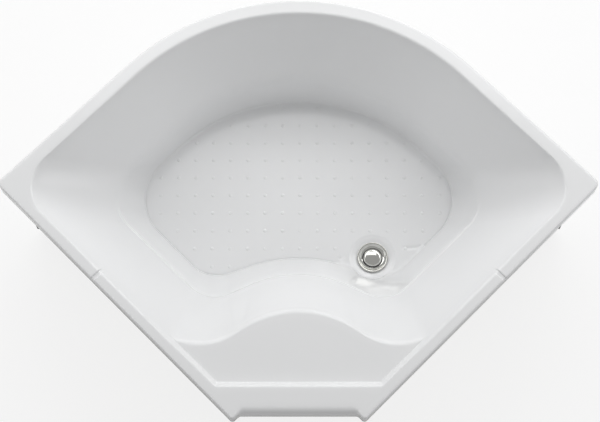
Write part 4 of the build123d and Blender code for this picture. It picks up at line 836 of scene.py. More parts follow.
def timber(name, colour):
    """Planed softwood: growth rings drawn out along the block, with fine fibres."""
    finish = Finish(name)
    rings = finish.grain(42.0, 3.0, 0.45, (0.25, 1.0, 1.6), 2.0)
    lines = finish.value("ShaderNodeMath", {"operation": "FRACT"}, {0: rings * 9.0})
    lines = finish.band(lines, 0.55, 0.95)
    fibres = finish.grain(420.0, 4.0, 0.6, (0.08, 1.0, 1.0), 5.0)
    base = finish.mix(lines * 0.75, shade(colour, 1.15), shade(colour, 0.62))
    base = finish.mix(finish.band(fibres, 0.35, 0.7) * 0.4, base, shade(colour, 0.8))
    finish.relief(lines * 0.4 + fibres * 0.6, 0.00025)
    return finish.feed(Base_Color=base, Roughness=finish.band(fibres, 0.3, 0.7, 0.5, 0.72))


def galvanised(name, colour):
    """Galvanised steel: soft spangle, drawing marks and dull patches."""
    finish = Finish(name, Metallic=1.0)
    spangle = finish.value("ShaderNodeSeparateColor", {}, {0: finish.cells(75.0, "Color")})
    marks = finish.grain(300.0, 3.0, 0.6, (0.05, 0.05, 1.0), 1.0)
    dull = finish.band(finish.grain(16.0, 4.0, 0.6, seed=3.0), 0.42, 0.7)
    base = finish.mix(spangle * 0.55, shade(colour, 0.9), shade(colour, 1.16))
    base = finish.mix(dull * 0.4, base, shade(colour, 0.72))
    finish.relief(spangle * 0.3 + marks * 0.7, 0.00006)
    return finish.feed(Base_Color=base, Roughness=0.3 + spangle * 0.1 + dull * 0.22)


def plated(name, colour, roughness, wear):
    """Bright plating with faint clouding and fine scratches."""
    finish = Finish(name, Metallic=1.0)
    cloud = finish.grain(90.0, 3.0, 0.55, seed=2.0)
    scratches = finish.band(finish.grain(700.0, 2.0, 0.5, (1.0, 0.06, 0.3), 6.0), 0.6, 0.8)
    base = finish.mix(finish.band(cloud, 0.45, 0.8) * wear, colour, shade(colour, 0.82))
    finish.relief(cloud * 0.5 + scratches * 0.5, 0.00002)
    return finish.feed(Base_Color=base, Roughness=roughness + scratches * wear * 0.12 + cloud * roughness * 0.4)


def moulded(name, colour, roughness, grain_depth, gloss_marks=0.08):
    """Moulded plastic with a fine grain and uneven gloss."""
    finish = Finish(name, IOR=1.49)
    fine = finish.grain(1400.0, 2.0, 0.6, seed=1.0)
    flow = finish.grain(35.0, 3.0, 0.5, (1.0, 1.0, 0.3), 4.0)
    base = finish.mix(finish.band(flow, 0.35, 0.75) * 0.5, colour, shade(colour, 0.93))
    finish.relief(fine * 0.75 + flow * 0.25, grain_depth)
    return finish.feed(Base_Color=base, Roughness=roughness + finish.band(flow, 0.4, 0.8) * gloss_marks)


def turned(name, colour, roughness, seed):
    """Metal turned on a lathe: fine rings about an upright axis."""
    finish = Finish(name, Metallic=1.0)
    apart = finish.value("ShaderNodeSeparateXYZ", {}, {0: finish.place}, "Z")
    rings = finish.value("ShaderNodeMath", {"operation": "SINE"}, {0: apart * 9000.0})
    cloud = finish.grain(120.0, 3.0, seed=seed)
    base = finish.mix(finish.band(cloud, 0.4, 0.75) * 0.6, colour, shade(colour, 0.78))
    finish.relief(rings * 0.5 + 0.5, 0.00002)
    return finish.feed(Base_Color=base, Roughness=roughness + cloud * 0.12)


def make_finishes(colours):
    """All the finishes, by the name of the slot that they stand for."""
    return {
        "white_acrylic": acrylic("white_acrylic", colours.acrylic[:], 0.11, 0.0006),
        "panel_acrylic": acrylic("panel_acrylic", colours.panel[:], 0.13, 0.0009),
        "glass_fibre": sprayed_glass("glass_fibre", colours.glass_fibre[:]),
        "chipboard": chipboard("chipboard", colours.chipboard[:]),
        "timber": timber("timber", colours.timber[:]),
        "frame_steel": galvanised("frame_steel", colours.steel[:]),
        "zinc_steel": plated("zinc_steel", (0.62, 0.62, 0.60), 0.26, 0.8),
        "black_plastic": moulded("black_plastic", (0.022, 0.022, 0.024), 0.5, 0.00012),
        "white_plastic": moulded("white_plastic", (0.84, 0.84, 0.835), 0.2, 0.00002, 0.05),
        "chrome": plated("chrome", colours.chrome[:], 0.035, 0.25),
        "brass": turned("brass", (0.72, 0.54, 0.26), 0.2, 3.0),
        "spring_steel": plated("spring_steel", (0.50, 0.50, 0.50), 0.25, 0.5),
        "grey_rubber": moulded("grey_rubber", (0.035, 0.035, 0.038), 0.62, 0.00006, 0.2),
        "trap_plastic": moulded("trap_plastic", (0.80, 0.80, 0.785), 0.36, 0.00005),
    }


FINISHES = {}


# Repeated pieces with Geometry Nodes ------------------------------------------------------------


class Layout(Graph):
    """A Geometry Nodes tree in the making, with its named inputs."""

    def __init__(self, name, inputs):
        super().__init__(bpy.data.node_groups.new(name, "GeometryNodeTree"))
        sockets = self.tree.interface
        for way in ("INPUT", "OUTPUT"):
            sockets.new_socket("Geometry", in_out=way, socket_type="NodeSocketGeometry")
        self.names = {label: sockets.new_socket(label, in_out="INPUT", socket_type=kind).identifier
                      for label, kind in inputs.items()}
        self.start, self.end = self.add("NodeGroupInput"), self.add("NodeGroupOutput")

    def given(self, label):
        return self.start.outputs[label]

    def finish(self, geometry):
        """Ends the tree: instances become real and take the material."""
        real = self.add("GeometryNodeRealizeInstances", values={"Geometry": geometry})
        painted = self.add("GeometryNodeSetMaterial", values={
            "Geometry": real.outputs[0], "Material": self.given("Material")})
        self.tree.links.new(painted.outputs[0], self.end.inputs[0])

    def grow(self, name, base, values):
        """Runs the tree on a base object and gives the result as a plain mesh object."""
        modifier = base.modifiers.new("layout", "NODES")
        modifier.node_group = self.tree
        for label, value in values.items():
            modifier[self.names[label]] = value
        base.update_tag()
        bpy.context.view_layer.update()
        mesh = bpy.data.meshes.new_from_object(base.evaluated_get(bpy.context.evaluated_depsgraph_get()))
        base.modifiers.remove(modifier)
        bpy.data.objects.remove(base)
        mesh.name = name
        piece = link_object(name, mesh)
        for polygon in mesh.polygons:
            polygon.use_smooth = True
        return piece


def dot_layout():
    """Grid of low domes, kept where they stand over the base mesh."""
    layout = Layout("grip_dots", {
        "Pitch across": "NodeSocketFloat", "Pitch along": "NodeSocketFloat", "Columns": "NodeSocketInt",
        "Rows": "NodeSocketInt", "Middle": "NodeSocketVector", "Radius": "NodeSocketFloat",
        "Height": "NodeSocketFloat", "Material": "NodeSocketMaterial",
    })

    def times(first, second):
        return layout.add("ShaderNodeMath", {"operation": "MULTIPLY"}, {0: first, 1: second}).outputs[0]

    def less_one(value):
        return layout.add("ShaderNodeMath", {"operation": "SUBTRACT"}, {0: value, 1: 1.0}).outputs[0]

    grid = layout.add("GeometryNodeMeshGrid", values={
        "Size X": times(layout.given("Pitch across"), less_one(layout.given("Columns"))),
        "Size Y": times(layout.given("Pitch along"), less_one(layout.given("Rows"))),
        "Vertices X": layout.given("Columns"), "Vertices Y": layout.given("Rows"),
    })
    placed = layout.add("GeometryNodeTransform", values={
        "Geometry": grid.outputs[0], "Translation": layout.given("Middle")})
    ray = layout.add("GeometryNodeRaycast", values={
        "Target Geometry": layout.start.outputs["Geometry"], "Ray Direction": (0, 0, -1), "Ray Length": 1.0})
    shape = layout.add("GeometryNodeMeshUVSphere", values={"Segments": 14, "Rings": 8, "Radius": 1.0})
    size = layout.add("ShaderNodeCombineXYZ", values={
        0: layout.given("Radius"), 1: layout.given("Radius"), 2: layout.given("Height")})
    placed_points = layout.add("GeometryNodeMeshToPoints", values={"Mesh": placed.outputs[0]})
    kept = layout.add("GeometryNodeSeparateGeometry", values={
        "Geometry": placed_points.outputs[0], "Selection": ray.outputs["Is Hit"]})
    dots = layout.add("GeometryNodeInstanceOnPoints", values={
        "Points": kept.outputs[0], "Instance": shape.outputs["Mesh"], "Scale": size.outputs[0]})
    layout.finish(dots.outputs[0])
    return layout


def fastener_layout():
    """A fastener on every point of the base mesh, turned to face its "facing" and spun by chance."""
    layout = Layout("fasteners", {
        "Fastener": "NodeSocketObject", "Size": "NodeSocketFloat", "Spin": "NodeSocketFloat",
        "Seed": "NodeSocketInt", "Material": "NodeSocketMaterial",
    })
    form = layout.add("GeometryNodeObjectInfo", values={"Object": layout.given("Fastener")})
    facing = layout.add("GeometryNodeInputNamedAttribute", {"data_type": "FLOAT_VECTOR"}, {"Name": "facing"})
    turn = layout.add("FunctionNodeAlignRotationToVector", {"axis": "Z"}, {"Vector": facing.outputs[0]})
    scale = layout.add("ShaderNodeCombineXYZ", values={k: layout.given("Size") for k in range(3)})
    copies = layout.add("GeometryNodeInstanceOnPoints", values={
        "Points": layout.start.outputs["Geometry"], "Instance": form.outputs["Geometry"],
        "Rotation": turn.outputs[0], "Scale": scale.outputs[0]})
    chance = layout.add("FunctionNodeRandomValue", {"data_type": "FLOAT"}, {"Seed": layout.given("Seed")})
    for label, value in (("Min", 0.0), ("Max", 1.0)):
        [s for s in chance.inputs if s.name == label and s.type == "VALUE"][0].default_value = value
    amount = layout.add("ShaderNodeMath", {"operation": "MULTIPLY"}, {
        0: [s for s in chance.outputs if s.type == "VALUE"][0], 1: layout.given("Spin")})
    spin = layout.add("ShaderNodeCombineXYZ", values={2: amount.outputs[0]})
    spun = layout.add("GeometryNodeRotateInstances", values={
        "Instances": copies.outputs[0], "Rotation": spin.outputs[0], "Local Space": True})
    layout.finish(spun.outputs[0])
    return layout


def points_object(places):
    """Mesh of loose points, in the frame, that carry the way they face."""
    mesh = bpy.data.meshes.new("places")
    mesh.from_pydata([(x / MM, (y + PLAN_Y) / MM, z / MM) for (x, y, z), _ in places], [], [])
    facing = mesh.attributes.new("facing", "FLOAT_VECTOR", "POINT")
    facing.data.foreach_set("vector", [part for _, way in places for part in way])
    return link_object("places", mesh)


def scatter(name, node, template, places, spin, seed, slot="zinc_steel"):
    """Copies of a fastener at plan places, as one piece that stands for its CAD node."""
    piece = fastener_layout().grow(name, points_object(places), {
        "Fastener": template, "Size": 1.0, "Spin": spin, "Seed": seed, "Material": FINISHES[slot]})
    bpy.data.objects.remove(template)
    piece.data.set_sharp_from_angle(angle=radians(35))
    return dress(piece, "tray", slot, node)


# Steps of the build -----------------------------------------------------------------------------


class TRAY_OT_finishes(Operator):
    """Make every finish and give the plain CAD pieces theirs"""

    bl_idname = "shower_tray.finishes"
    bl_label = "Finishes"

    def execute(self, context):
        FINISHES.update(make_finishes(context.scene.shower_tray.colours))
        slots = {part["node"]: part["material_slot"] for part in frame["record"]["subparts"]}
        for node, piece in frame["nodes"].items():
            if not piece.data.materials:
                piece.data.materials.append(None)
            for holder in piece.material_slots:
                holder.link = "OBJECT"
                holder.material = FINISHES[slots[node]]
        return {"FINISHED"}


class TRAY_OT_moulding(Operator):
    """Build the acrylic moulding: rim, seat, walls, floor and the waste's dish in one closed shell"""

    bl_idname = "shower_tray.moulding"
    bl_label = "Moulding"

    def execute(self, context):
        sizes = context.scene.shower_tray.moulding
        crease = (sizes.crease_width * MM, sizes.crease_depth * MM)
        front = open_waste(*front_skin(sizes), 0.0, 0.0, sizes.dish_blend * MM, crease)
        back = open_waste(*back_skin(), BACK_SIDE, BACK_DROP, 2.0)
        shell = to_mesh("moulding", *closed_shell(front, back, len(basin_loops(0)[0])))
        dress(shell, "tray", "white_acrylic", "tray_shell")
        return {"FINISHED"}


class TRAY_OT_backing(Operator):
    """Build the sprayed glass fibre layer with its uneven outer side"""

    bl_idname = "shower_tray.backing"
    bl_label = "Glass fibre backing"

    def execute(self, context):
        depth = context.scene.shower_tray.moulding.spray_depth * MM
        side, drop = SHELL_SIDE + GLASS_WALL, SHELL_WALL + GLASS_WALL
        inner_rows, outer_rows = back_rows(SHELL_SIDE, SHELL_WALL)[0], back_rows(side, drop)[0]
        fine = []
        for low, high in zip(outer_rows, outer_rows[1:]):
            steps = 3 if np.abs(high - low).max() > 14 else 1
            fine += [low + (high - low) * k / steps for k in range(steps)]
        fine.append(outer_rows[-1])
        outer = skin(fine, (*FLOOR_MIDDLE, FLOOR_Z - drop))
        inner = skin(inner_rows, (*FLOOR_MIDDLE, FLOOR_Z - SHELL_WALL))
        points, faces, hole = open_waste(*outer, side, drop, 3.0)
        middle = np.array((*FLOOR_MIDDLE, RIM_TOP - 120))
        for index, point in enumerate(points):
            if point[2] <= RIM_TOP - SHELL_WALL - 0.5:
                lump = 0.5 + 0.5 * noise.fractal(Vector(point) * 0.035, 0.9, 2.1, 4)
                way = middle - point
                points[index] = point + way / np.linalg.norm(way) * depth * min(1.0, max(0.0, lump))
        shell = to_mesh("sprayed_backing", *closed_shell(
            (points, faces, hole), open_waste(*inner, SHELL_SIDE, SHELL_WALL, 2.0), len(inner_rows[0])), sharp=60)
        dress(shell, "tray", "glass_fibre", "glass_fibre_layer")
        return {"FINISHED"}


class TRAY_OT_dots(Operator):
    """Set the grip dots over the standing floor"""

    bl_idname = "shower_tray.dots"
    bl_label = "Grip dots"

    def execute(self, context):
        sizes = context.scene.shower_tray.dots
        columns, rows, rounds = 19, 11, 72
        steps = np.linspace(0, 2 * pi, rounds, endpoint=False)
        keep_out = WASTE + sizes.waste_margin * MM * np.column_stack((np.cos(steps), np.sin(steps)))
        outline, hole = [Vector(p) for p in basin_loops(-sizes.margin * MM)[4]], [Vector(p) for p in keep_out]
        rings = ring_edges(0, len(outline)) + ring_edges(len(outline), rounds)
        flat, _, triangles, _, _, _ = delaunay_2d_cdt(outline + hole, rings, [], 0, 1e-5)
        middles = [sum((flat[k] for k in t), Vector((0, 0))) / 3 for t in triangles]
        faces = [t for t, m in zip(triangles, middles) if inside(m, outline) and not inside(m, hole)]
        mesh = bpy.data.meshes.new("standing_floor")
        mesh.from_pydata([(p.x / MM, (p.y + PLAN_Y) / MM, FLOOR_Z / MM) for p in flat], [], faces)
        middle_row = sizes.first_row + PLAN_Y / MM + sizes.pitch_along * 5
        piece = dot_layout().grow("grip_dots", link_object("standing_floor", mesh), {
            "Pitch across": sizes.pitch_across, "Pitch along": sizes.pitch_along, "Columns": columns, "Rows": rows,
            "Middle": (sizes.middle, middle_row, FLOOR_Z / MM + 0.0001),
            "Radius": sizes.radius, "Height": sizes.height, "Material": FINISHES["white_acrylic"]})
        dress(piece, "tray", "white_acrylic")
        return {"FINISHED"}


def panel_end():
    """Distance of the front panel's straight ends from the wall sides, in millimetres."""
    return ROOT2 * (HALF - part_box("front_panel")[1].x * MM) - PANEL_IN


class TRAY_OT_front_panel(Operator):
    """Build the curved front panel with its turned-in bottom edge"""

    bl_idname = "shower_tray.front_panel"
    bl_label = "Front panel"

    def execute(self, context):
        edge = context.scene.shower_tray.panel.edge * MM
        low, high = heights_of("front_panel")
        wall, tuck, turn, end = 4.0, 4.5, FRONT_RADIUS / ROOT2, panel_end() / ROOT2
        half_line = np.vstack((
            arc((0, ARC_CENTRE_Y), FRONT_RADIUS, -90, 45, 64),
            run((turn, ARC_CENTRE_Y - turn), (HALF - end, -end), 26),
            (HALF - end, -end),
        ))
        line = np.vstack((half_line[::-1] * (-1, 1), half_line[1:]))
        tangent = np.gradient(line, axis=0)
        normal = np.column_stack((tangent[:, 1], -tangent[:, 0]))
        normal /= np.linalg.norm(normal, axis=1)[:, None]
        normal[0], normal[-1] = (-1 / ROOT2, -1 / ROOT2), (1 / ROOT2, -1 / ROOT2)
        profile = soften(
            [(PANEL_IN, low), (PANEL_IN, high), (PANEL_IN + wall, high), (PANEL_IN + wall, low + wall),
             (PANEL_IN + wall + tuck, low + wall), (PANEL_IN + wall + tuck, low)],
            [2.4 * edge, edge, edge, 1.2, edge, edge], 5)
        split = []
        for here, after in zip(profile, profile[1:] + profile[:1]):
            split.append(here)
            if abs(after[1] - here[1]) > 60:
                split += [tuple(np.array(here) + (np.array(after) - here) * k / 8) for k in range(1, 8)]
        rows = [at(line - normal * inset, z) for inset, z in split]
        count, faces = len(line), []
        for row in range(len(rows)):
            near, far = row * count, (row + 1) % len(rows) * count
            faces += [(near + k, near + k + 1, far + k + 1, far + k) for k in range(count - 1)]
        faces.append(tuple(row * count for row in range(len(rows))))
        faces.append(tuple(row * count + count - 1 for row in range(len(rows)))[::-1])
        piece = to_mesh("curved_panel", np.vstack(rows), faces)
        dress(piece, "tray", "panel_acrylic", "front_panel")
        return {"FINISHED"}


class TRAY_OT_waste(Operator):
    """Build the chromed waste, its seals and the domed click plug"""

    bl_idname = "shower_tray.waste"
    bl_label = "Waste and plug"

    def execute(self, context):
        sizes = context.scene.shower_tray.waste
        low, high = heights_of("waste_flange")
        seat, throat, turns = high - 3.0, high - 5.7, 144
        bore, tail, collar, brim, edge = 20.0, 21.9, 28.5, 35.0, sizes.flange_edge * MM
        corners = (
            (bore, low, 0.3), (tail, low, 0.3), (tail, low + 1.0, 0.0), (tail, seat - 9.0, 0.6),
            (collar, seat - 5.5, 0.6), (collar, seat, 0.3), (brim, seat, 0.5), (brim, high, edge),
            (31.5, high, edge), (27.4, high - 3.6, 3.0), (22.5, throat, 0.8), (bore, throat, 0.6),
        )
        profile = soften([corner[:2] for corner in corners], [corner[2] for corner in corners], 6)
        body = lathe(profile, WASTE, turns)
        screw = thread(23.0, 0.9, sizes.thread_pitch * MM, low + 0.6, seat - 9.4, WASTE, 96)
        bars, bar_low, bar_high = [], low + 8, low + 12
        sides = [(3, 2, 1, 0), (4, 5, 6, 7), (0, 1, 5, 4), (1, 2, 6, 5), (2, 3, 7, 6), (3, 0, 4, 7)]
        for length_x, length_y in ((20.6, 2.0), (2.0, 20.6)):
            ends = [(WASTE[0] + sx * length_x, WASTE[1] + sy * length_y, z)
                    for z in (bar_low, bar_high) for sx, sy in ((-1, -1), (1, -1), (1, 1), (-1, 1))]
            bars.append((np.array(ends), sides))
        hub = lathe([(6.1, bar_low), (9.5, bar_low), (9.5, bar_high), (6.1, bar_high)], WASTE, 48)
        dress(to_mesh("waste_ring", *join(body, screw, *bars, hub)), "tray", "chrome", "waste_flange")

        low, high = heights_of("plug_cap")
        radius, crown_radius, flat_to, roll = 20.5, 106.0, 15.0, 0.07
        crown = [(r, high - r * r / (2 * crown_radius) - roll * max(r - flat_to, 0) ** 2)
                 for r in np.linspace(0.002, radius - 0.9, 22)]
        rim = [(radius, low + 0.9), (radius, low), (0.002, low)]
        cap = soften([*crown, *rim], [0.0] * (len(crown) - 1) + [0.5, 0.9, 0.35, 0.0], 6)
        piece = to_mesh("plug_dome", *lathe(cap, WASTE, turns), sharp=50, merge=4e-6)
        dress(piece, "plug", "chrome", "plug_cap")

        for name, node, body, inner, outer, reach in (
            ("plug_washer", "plug_seal", "plug", 14.0, 22.3, 0.35),
            ("flange_washer", "flange_seal", "tray", 29.1, 34.9, 0.5),
        ):
            low, high = heights_of(node)
            washer = soften([(inner, low), (outer, low), (outer, high), (inner, high)], reach, 4)
            dress(to_mesh(name, *lathe(washer, WASTE, turns)), body, "grey_rubber", node)
        return {"FINISHED"}


FEET = ("front", "left", "right", "rear_left", "rear_right")


def hexagon(across, limit, height, count):
    """Ring of a hexagonal head, its corners cut to a share of their radius."""
    half, corner = across / 2, across / 2 / cos(pi / 6)
    return [(min(half / cos((2 * pi * k / count + pi / 6) % (pi / 3) - pi / 6), corner * limit), height)
            for k in range(count)]


def ring_points(rings, centre=(0.0, 0.0)):
    """Points of rings that give a (radius, height) for each station."""
    points = []
    for ring in rings:
        for k, (r, z) in enumerate(ring):
            angle = 2 * pi * k / len(ring)
            points.append((centre[0] + r * cos(angle), centre[1] + r * sin(angle), z))
    return np.array(points)


def hex_nut(across, height, bore, name):
    """Hexagonal nut standing on the origin, with chamfered corners and a round bore."""
    count, bevel = 72, 0.7
    rings = [hexagon(across, limit, share * height, count)
             for share, limit in ((0, 0.94), (0.1, 1.0), (0.9, 1.0), (1, 0.94))]
    bore_rings = ((bore + bevel, height), (bore, height - bevel), (bore, bevel), (bore + bevel, 0))
    rings += [[place] * count for place in bore_rings]
    return to_mesh(name, ring_points(rings), skin_faces(len(rings), count, closed=True), shift=False)


def hex_bolt(across, head, shank, length, name):
    """Hexagonal bolt whose head stands on the origin and whose shank goes down from it."""
    count, dent = 48, 0.25
    shank_rings = ((0.01, -length), (shank * 0.8, -length), (shank, -length + 0.8), (shank, 0.0))
    top_rings = ((shank, head), (shank * 0.8, head - dent), (0.01, head - dent))
    rings = [[place] * count for place in shank_rings]
    rings += [hexagon(across, limit, z, count) for z, limit in ((0.0, 0.9), (0.35, 1.0), (head * 0.85, 1.0), (head, 0.9))]
    rings += [[place] * count for place in top_rings]
    return to_mesh(name, ring_points(rings), skin_faces(len(rings), count), shift=False, merge=2e-5)


def cross_screw(head, head_height, shank, length, name):
    """Round-headed screw with a cross recess; its head stands on the origin, its shank goes down from it."""
    count = 40
    crown = [(head * sin(a), head_height * cos(a)) for a in np.linspace(pi / 2, 0.12, 7)]
    profile = [(0.01, -length), (shank * 0.35, -length + 0.6), (shank, -length + 2.2), (shank, 0.0), (head, 0.0)]
    profile += crown[1:]
    points = []
    for r, z in profile:
        for k in range(count):
            angle = 2 * pi * k / count
            arm = min(abs(sin(angle)), abs(cos(angle))) * r
            sunk = 0.55 * head_height if z > 0.3 * head_height and arm < head * 0.13 and r < head * 0.62 else 0.0
            points.append((r * cos(angle), r * sin(angle), z - sunk))
    points += [(0, 0, head_height * 0.4)]
    faces = skin_faces(len(profile), count)
    last = (len(profile) - 1) * count
    faces += [(last + k, last + (k + 1) % count, len(points) - 1) for k in range(count)]
    return to_mesh(name, points, faces, shift=False, merge=2e-5)


class TRAY_OT_feet(Operator):
    """Build the levelling feet: ribbed pads and threaded spindles with their nuts"""

    bl_idname = "shower_tray.feet"
    bl_label = "Levelling feet"

    def execute(self, context):
        pitch = context.scene.shower_tray.feet.thread_pitch * MM
        count, rib_count, rib_depth = 96, 8, 2.3
        ribs = [max(0.0, cos(rib_count * (2 * pi * k / count))) ** 3 for k in range(count)]
        shape = ((0.01, 0.0, 0), (18.8, 0.0, 0), (20.0, 0.6, 0), (20.0, 3.9, 0), (19.2, 4.7, 0), (17.4, 5.4, 0.5),
                 (15.9, 7.2, 1), (13.9, 10.6, 1), (12.0, 14.0, 1), (11.0, 15.4, 0.2), (10.5, 16.0, 0),
                 (6.06, 16.0, 0), (6.06, 4.02, 0), (0.01, 4.02, 0))
        pad_rings = [[(r - ribbed * rib_depth * (1 - rib), z) for rib in ribs] for r, z, ribbed in shape]
        nut_count, nut_bore, nut_low, nut_high = 72, 5.0, 18.0, 28.0
        nut_rings = [[(nut_bore, nut_low)] * nut_count]
        nut_rings += [hexagon(17.0, limit, z, nut_count)
                      for z, limit in ((nut_low, 0.9), (19.0, 1.0), (27.0, 1.0), (nut_high, 0.9))]
        nut_rings += [[(nut_bore, nut_high)] * nut_count]
        screw_count = 40
        for name in FEET:
            centre = middle_of("foot_pad_" + name)
            pad = to_mesh("ribbed_pad_" + name, ring_points(pad_rings, centre), skin_faces(len(shape), count), merge=2e-5)
            dress(pad, "pad_" + name, "black_plastic", "foot_pad_" + name)

            low, high = heights_of("foot_spindle_" + name)
            plain = lathe([(0.01, low), (5.6, low), (5.95, low + 0.5), (5.95, 17.9), (5.05, 18.2),
                           (5.05, high - 0.6), (0.01, high - 0.6)], centre, 48, closed=False)
            screw_points, screw_faces = thread(6.0, 0.75, pitch, 28.2, high, centre, screw_count)
            screw_faces.append(tuple(range(len(screw_points) - screw_count, len(screw_points))))
            nut = (ring_points(nut_rings, centre), skin_faces(len(nut_rings), nut_count))
            parts = join(plain, (screw_points, screw_faces), nut)
            spindle = to_mesh("threaded_spindle_" + name, *parts, merge=2e-5)
            dress(spindle, "spindle_" + name, "zinc_steel", "foot_spindle_" + name)
        for node, name, spin in (("weld_nuts", "welded_nuts", 0.0), ("lock_nuts", "locking_nuts", 1.0)):
            low, high = heights_of(node)
            places = [((*middle_of("foot_pad_" + foot), low), (0, 0, 1)) for foot in FEET]
            scatter(name, node, hex_nut(19.0, high - low, 6.05, "nut"), places, spin, 4)
        return {"FINISHED"}


class TRAY_OT_fasteners(Operator):
    """Set the bolts, the screws and the screw covers"""

    bl_idname = "shower_tray.fasteners"
    bl_label = "Screws, bolts and covers"

    def execute(self, context):
        tube_bottom, tube_top = heights_of("cross_rail")
        plate, head, whole_turn = 3.0, 3.5, 6.28
        wing_post, rear_post = abs(middle_of("wing_block_right")[0]), abs(middle_of("foot_pad_rear_right")[0])
        cross_y, rear_y = middle_of("cross_rail")[1], middle_of("foot_pad_rear_right")[1]
        posts = [(side, side * x, y) for x, y in ((wing_post, cross_y), (rear_post, rear_y)) for side in (-1, 1)]
        places = [((x - side * 26.0, y, tube_top + plate), (0, 0, 1)) for side, x, y in posts]
        scatter("plate_bolts", "post_bolts", hex_bolt(13.0, 5.3, 4.0, 15.9, "bolt"), places, whole_turn, 2)

        tops = {wing_post: heights_of("wing_post_right")[1], rear_post: heights_of("seat_post_right")[1]}
        places = [((x, y + step, tops[abs(x)] - plate), (0, 0, -1)) for _, x, y in posts for step in (-16.25, 16.25)]
        scatter("plate_screws", "post_screws", cross_screw(head, 2.4, 2.2, 13.9, "screw"), places, whole_turn, 3)

        low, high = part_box("board_screws")
        far, front_most = high.x * MM - head, low.y * MM - PLAN_Y + head
        spots = [*((x, cross_y) for x in (-far, -80.0, 80.0, far)), (0, front_most), (0, -75.0), (0, 55.0)]
        places = [((x, y, tube_bottom), (0, 0, -1)) for x, y in spots]
        scatter("board_fixings", "board_screws", cross_screw(head, 2.4, 2.2, 35.9, "screw"), places, whole_turn, 5)

        side_z, face = sum(heights_of("panel_bracket_right")) / 2, TUBE / 2 + plate
        front_end, tube_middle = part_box("front_rail")[0].y * MM - PLAN_Y, (tube_bottom + tube_top) / 2
        places = [((face, front_end + 60 * share, tube_middle), (1, 0, 0)) for share in (0.25, 0.75)]
        places += [((side * wing_post, cross_y - face, side_z), (0, -1, 0)) for side in (-1, 1)]
        scatter("bracket_fixings", "bracket_screws", cross_screw(4.5, 2.4, 2.35, 7.9, "screw"), places, whole_turn, 6)

        from_wall = panel_end() + 16.0
        side_x, side_y = HALF - (from_wall + PANEL_IN) / ROOT2, (PANEL_IN - from_wall) / ROOT2
        spots = [((0, FRONT_Y + PANEL_IN, tube_bottom - 30.0), (0, -1, 0))]
        spots += [((side * side_x, side_y, side_z), (side / ROOT2, -1 / ROOT2, 0)) for side in (-1, 1)]
        profile = soften([(7.5, 0.0), (7.5, 2.6), (5.4, 4.1), (0.01, 4.1), (0.01, 2.9), (6.3, 2.9), (6.3, 0.0)],
                         [0.15, 1.0, 2.6, 0.0, 0.0, 0.1, 0.1], 5)
        cover = to_mesh("cover", *lathe(profile, (0, 0), 48), shift=False, merge=2e-5)
        scatter("screw_covers", "panel_screw_covers", cover, spots, 0.0, 7, "white_plastic")
        return {"FINISHED"}


